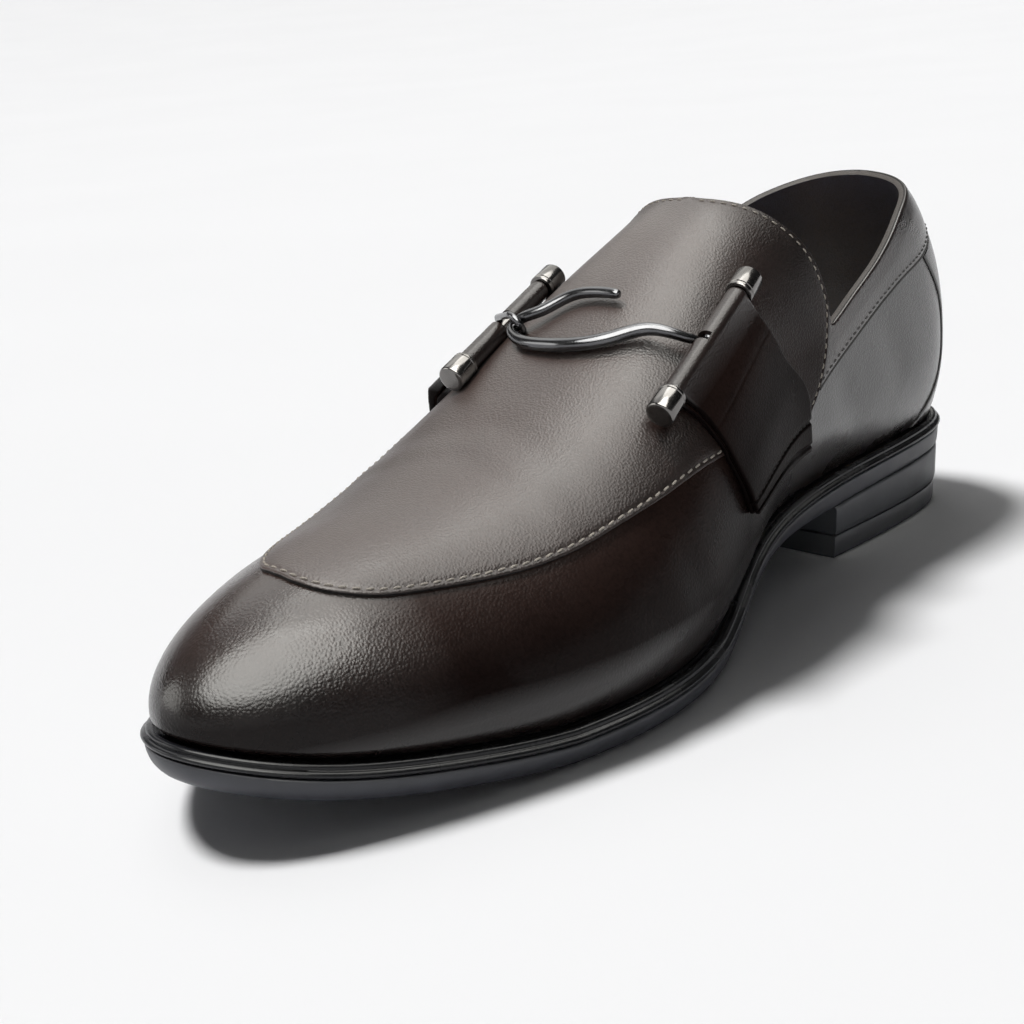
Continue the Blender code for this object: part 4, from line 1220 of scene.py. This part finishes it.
def make_eye():
    a, b, axis = bar_frame("lateral")
    rod, caught = (a + b) / 2, place(*EYE_AT)
    run = unit(caught - rod)
    wide = unit(np.cross(axis, run)) * (ROD_RADIUS + GAP + EYE_RADIUS + 0.05)
    reach = run * np.linalg.norm(wide)
    g1, g2 = np.radians(np.linspace(-90, 90, 30))[:, None], np.radians(np.linspace(90, 270, 30))[:, None]
    line = np.concatenate([caught + wide * np.sin(g1) + reach * np.cos(g1), rod + wide * np.sin(g2) + reach * np.cos(g2)])
    q, n = on_net(line)                               # rests on the apron where it would go into it
    short = np.maximum(EYE_RADIUS + 1.15 - np.einsum("ij,ij->i", line - q, n), 0.0)
    line = line + n * short[:, None]
    return tube("eye_fine", line, EYE_RADIUS, [DARK_METAL], sides=20, closed=True, slot="gunmetal", nodes=("eye",), flat_over=60)


make_hook()
make_eye()

# ----------------------------------------------------- floor, light and camera
_rr = np.concatenate([np.linspace(0.25, 1.5, 6), np.linspace(1.5, 12.0, 24)[1:]])
_g = np.linspace(0, 2 * pi, 64, endpoint=False)
_pts = [(0.0, 0.0, 0.0)] + [(r * cos(g), r * sin(g), 0.012 * max(r - 1.5, 0.0) ** 2) for r in _rr for g in _g]
_faces = [[0, 1 + j, 1 + (j + 1) % 64] for j in range(64)] + [list(f) for f in grid_faces(len(_rr), 64, wrap_m=True, start=1)]
_me = bpy.data.meshes.new("floor")
_me.from_pydata(_pts, [], [[int(v) for v in f] for f in _faces])
_me.shade_smooth()
floor = bpy.data.objects.new("floor", _me)
bpy.context.scene.collection.objects.link(floor)
_m, _tree, _b = shader("pale_floor")
_k = Nodes(_tree)
_k.link(_k.mix(1.0, (0.86, 0.86, 0.865), _k.span(_k.noise(3.0, 2.0), 0.3, 0.7, 0.985, 1.0), "MULTIPLY"), _b.inputs["Base Color"])
_b.inputs["Roughness"].default_value = 1.0
_b.inputs["Specular IOR Level"].default_value = 0.0
_me.materials.append(_m)

scene = bpy.context.scene
world = bpy.data.worlds.new("studio")
scene.world = world
world.use_nodes = True
_t = world.node_tree
_bg = _t.nodes["Background"]
_k = Nodes(_t)
_gen = _t.nodes.new("ShaderNodeTexCoord").outputs["Generated"]
# dim all round, lighter overhead and on the lateral side
_side = _k.new("VectorMath", {0: _gen, 1: (-0.62, 0.10, 0.78)}, operation="DOT_PRODUCT").outputs["Value"]
_k.link(_k.ramp(_side, [(0.0, (0.03, 0.03, 0.031)), (0.30, (0.035, 0.035, 0.036)), (0.70, (0.11, 0.11, 0.11)), (1.0, (0.15, 0.15, 0.15))]), _bg.inputs["Color"])
_bg.inputs["Strength"].default_value = 1.0


def far_light(name, towards, degrees, strength):
    """Light from far away, so that the floor is lit evenly; its width in degrees sets the softness."""
    data = bpy.data.lights.new(name, "SUN")
    data.energy = strength
    data.angle = radians(degrees)
    ob = bpy.data.objects.new(name, data)
    scene.collection.objects.link(ob)
    ob.rotation_euler = (-Vector(towards)).to_track_quat("-Z", "Y").to_euler()
    return ob


key = far_light("key_light", (-0.36, -0.12, 0.92), 13.0, 3.08)
key.visible_glossy = False
far_light("left_light", (-0.45, 0.15, 0.87), 44.0, 0.34)
# wide panels seen in the polish only: over the medial side, overhead, behind and before on the lateral side
for _name, _towards, _degrees, _strength in (("medial_panel", (0.32, -0.46, 0.83), 62.0, 6.9),
                                             ("top_panel", (0.05, 0.29, 0.95), 46.0, 2.15),
                                             ("back_panel", (-0.52, 0.50, 0.69), 60.0, 0.9),
                                             ("front_panel", (-0.68, -0.70, 0.20), 40.0, 1.1)):
    _panel = far_light(_name, _towards, _degrees, _strength)
    _panel.visible_diffuse = False
    _panel.data.color = (1.0, 0.995, 0.95)

# camera fitted to the photo, turned to the one shoe
CAMERA_AT = (239.505 - X_CENTRE, -292.545, 160.026)
CAMERA_YAW, CAMERA_PITCH, CAMERA_ROLL = -43.466, 18.660, -4.452      # degrees
_y, _p, _r = (radians(v) for v in (CAMERA_YAW, CAMERA_PITCH, CAMERA_ROLL))
_fw = Vector((sin(_y) * cos(_p), cos(_y) * cos(_p), -sin(_p)))
_rt = Vector((cos(_y), -sin(_y), 0.0))
_upv = _rt.cross(_fw)
_right = _rt * cos(_r) + _upv * sin(_r)
_above = _upv * cos(_r) - _rt * sin(_r)
cam_data = bpy.data.cameras.new("camera")
cam_data.sensor_width = 36.0
cam_data.lens = 50.98
cam_data.clip_start = 0.01
camera = bpy.data.objects.new("camera", cam_data)
scene.collection.objects.link(camera)
camera.matrix_world = Matrix.Translation(Vector(CAMERA_AT) * MM) @ Matrix((_right, _above, -_fw)).transposed().to_4x4()
scene.camera = camera
scene.view_settings.view_transform = "Standard"

bpy.context.view_layer.update()
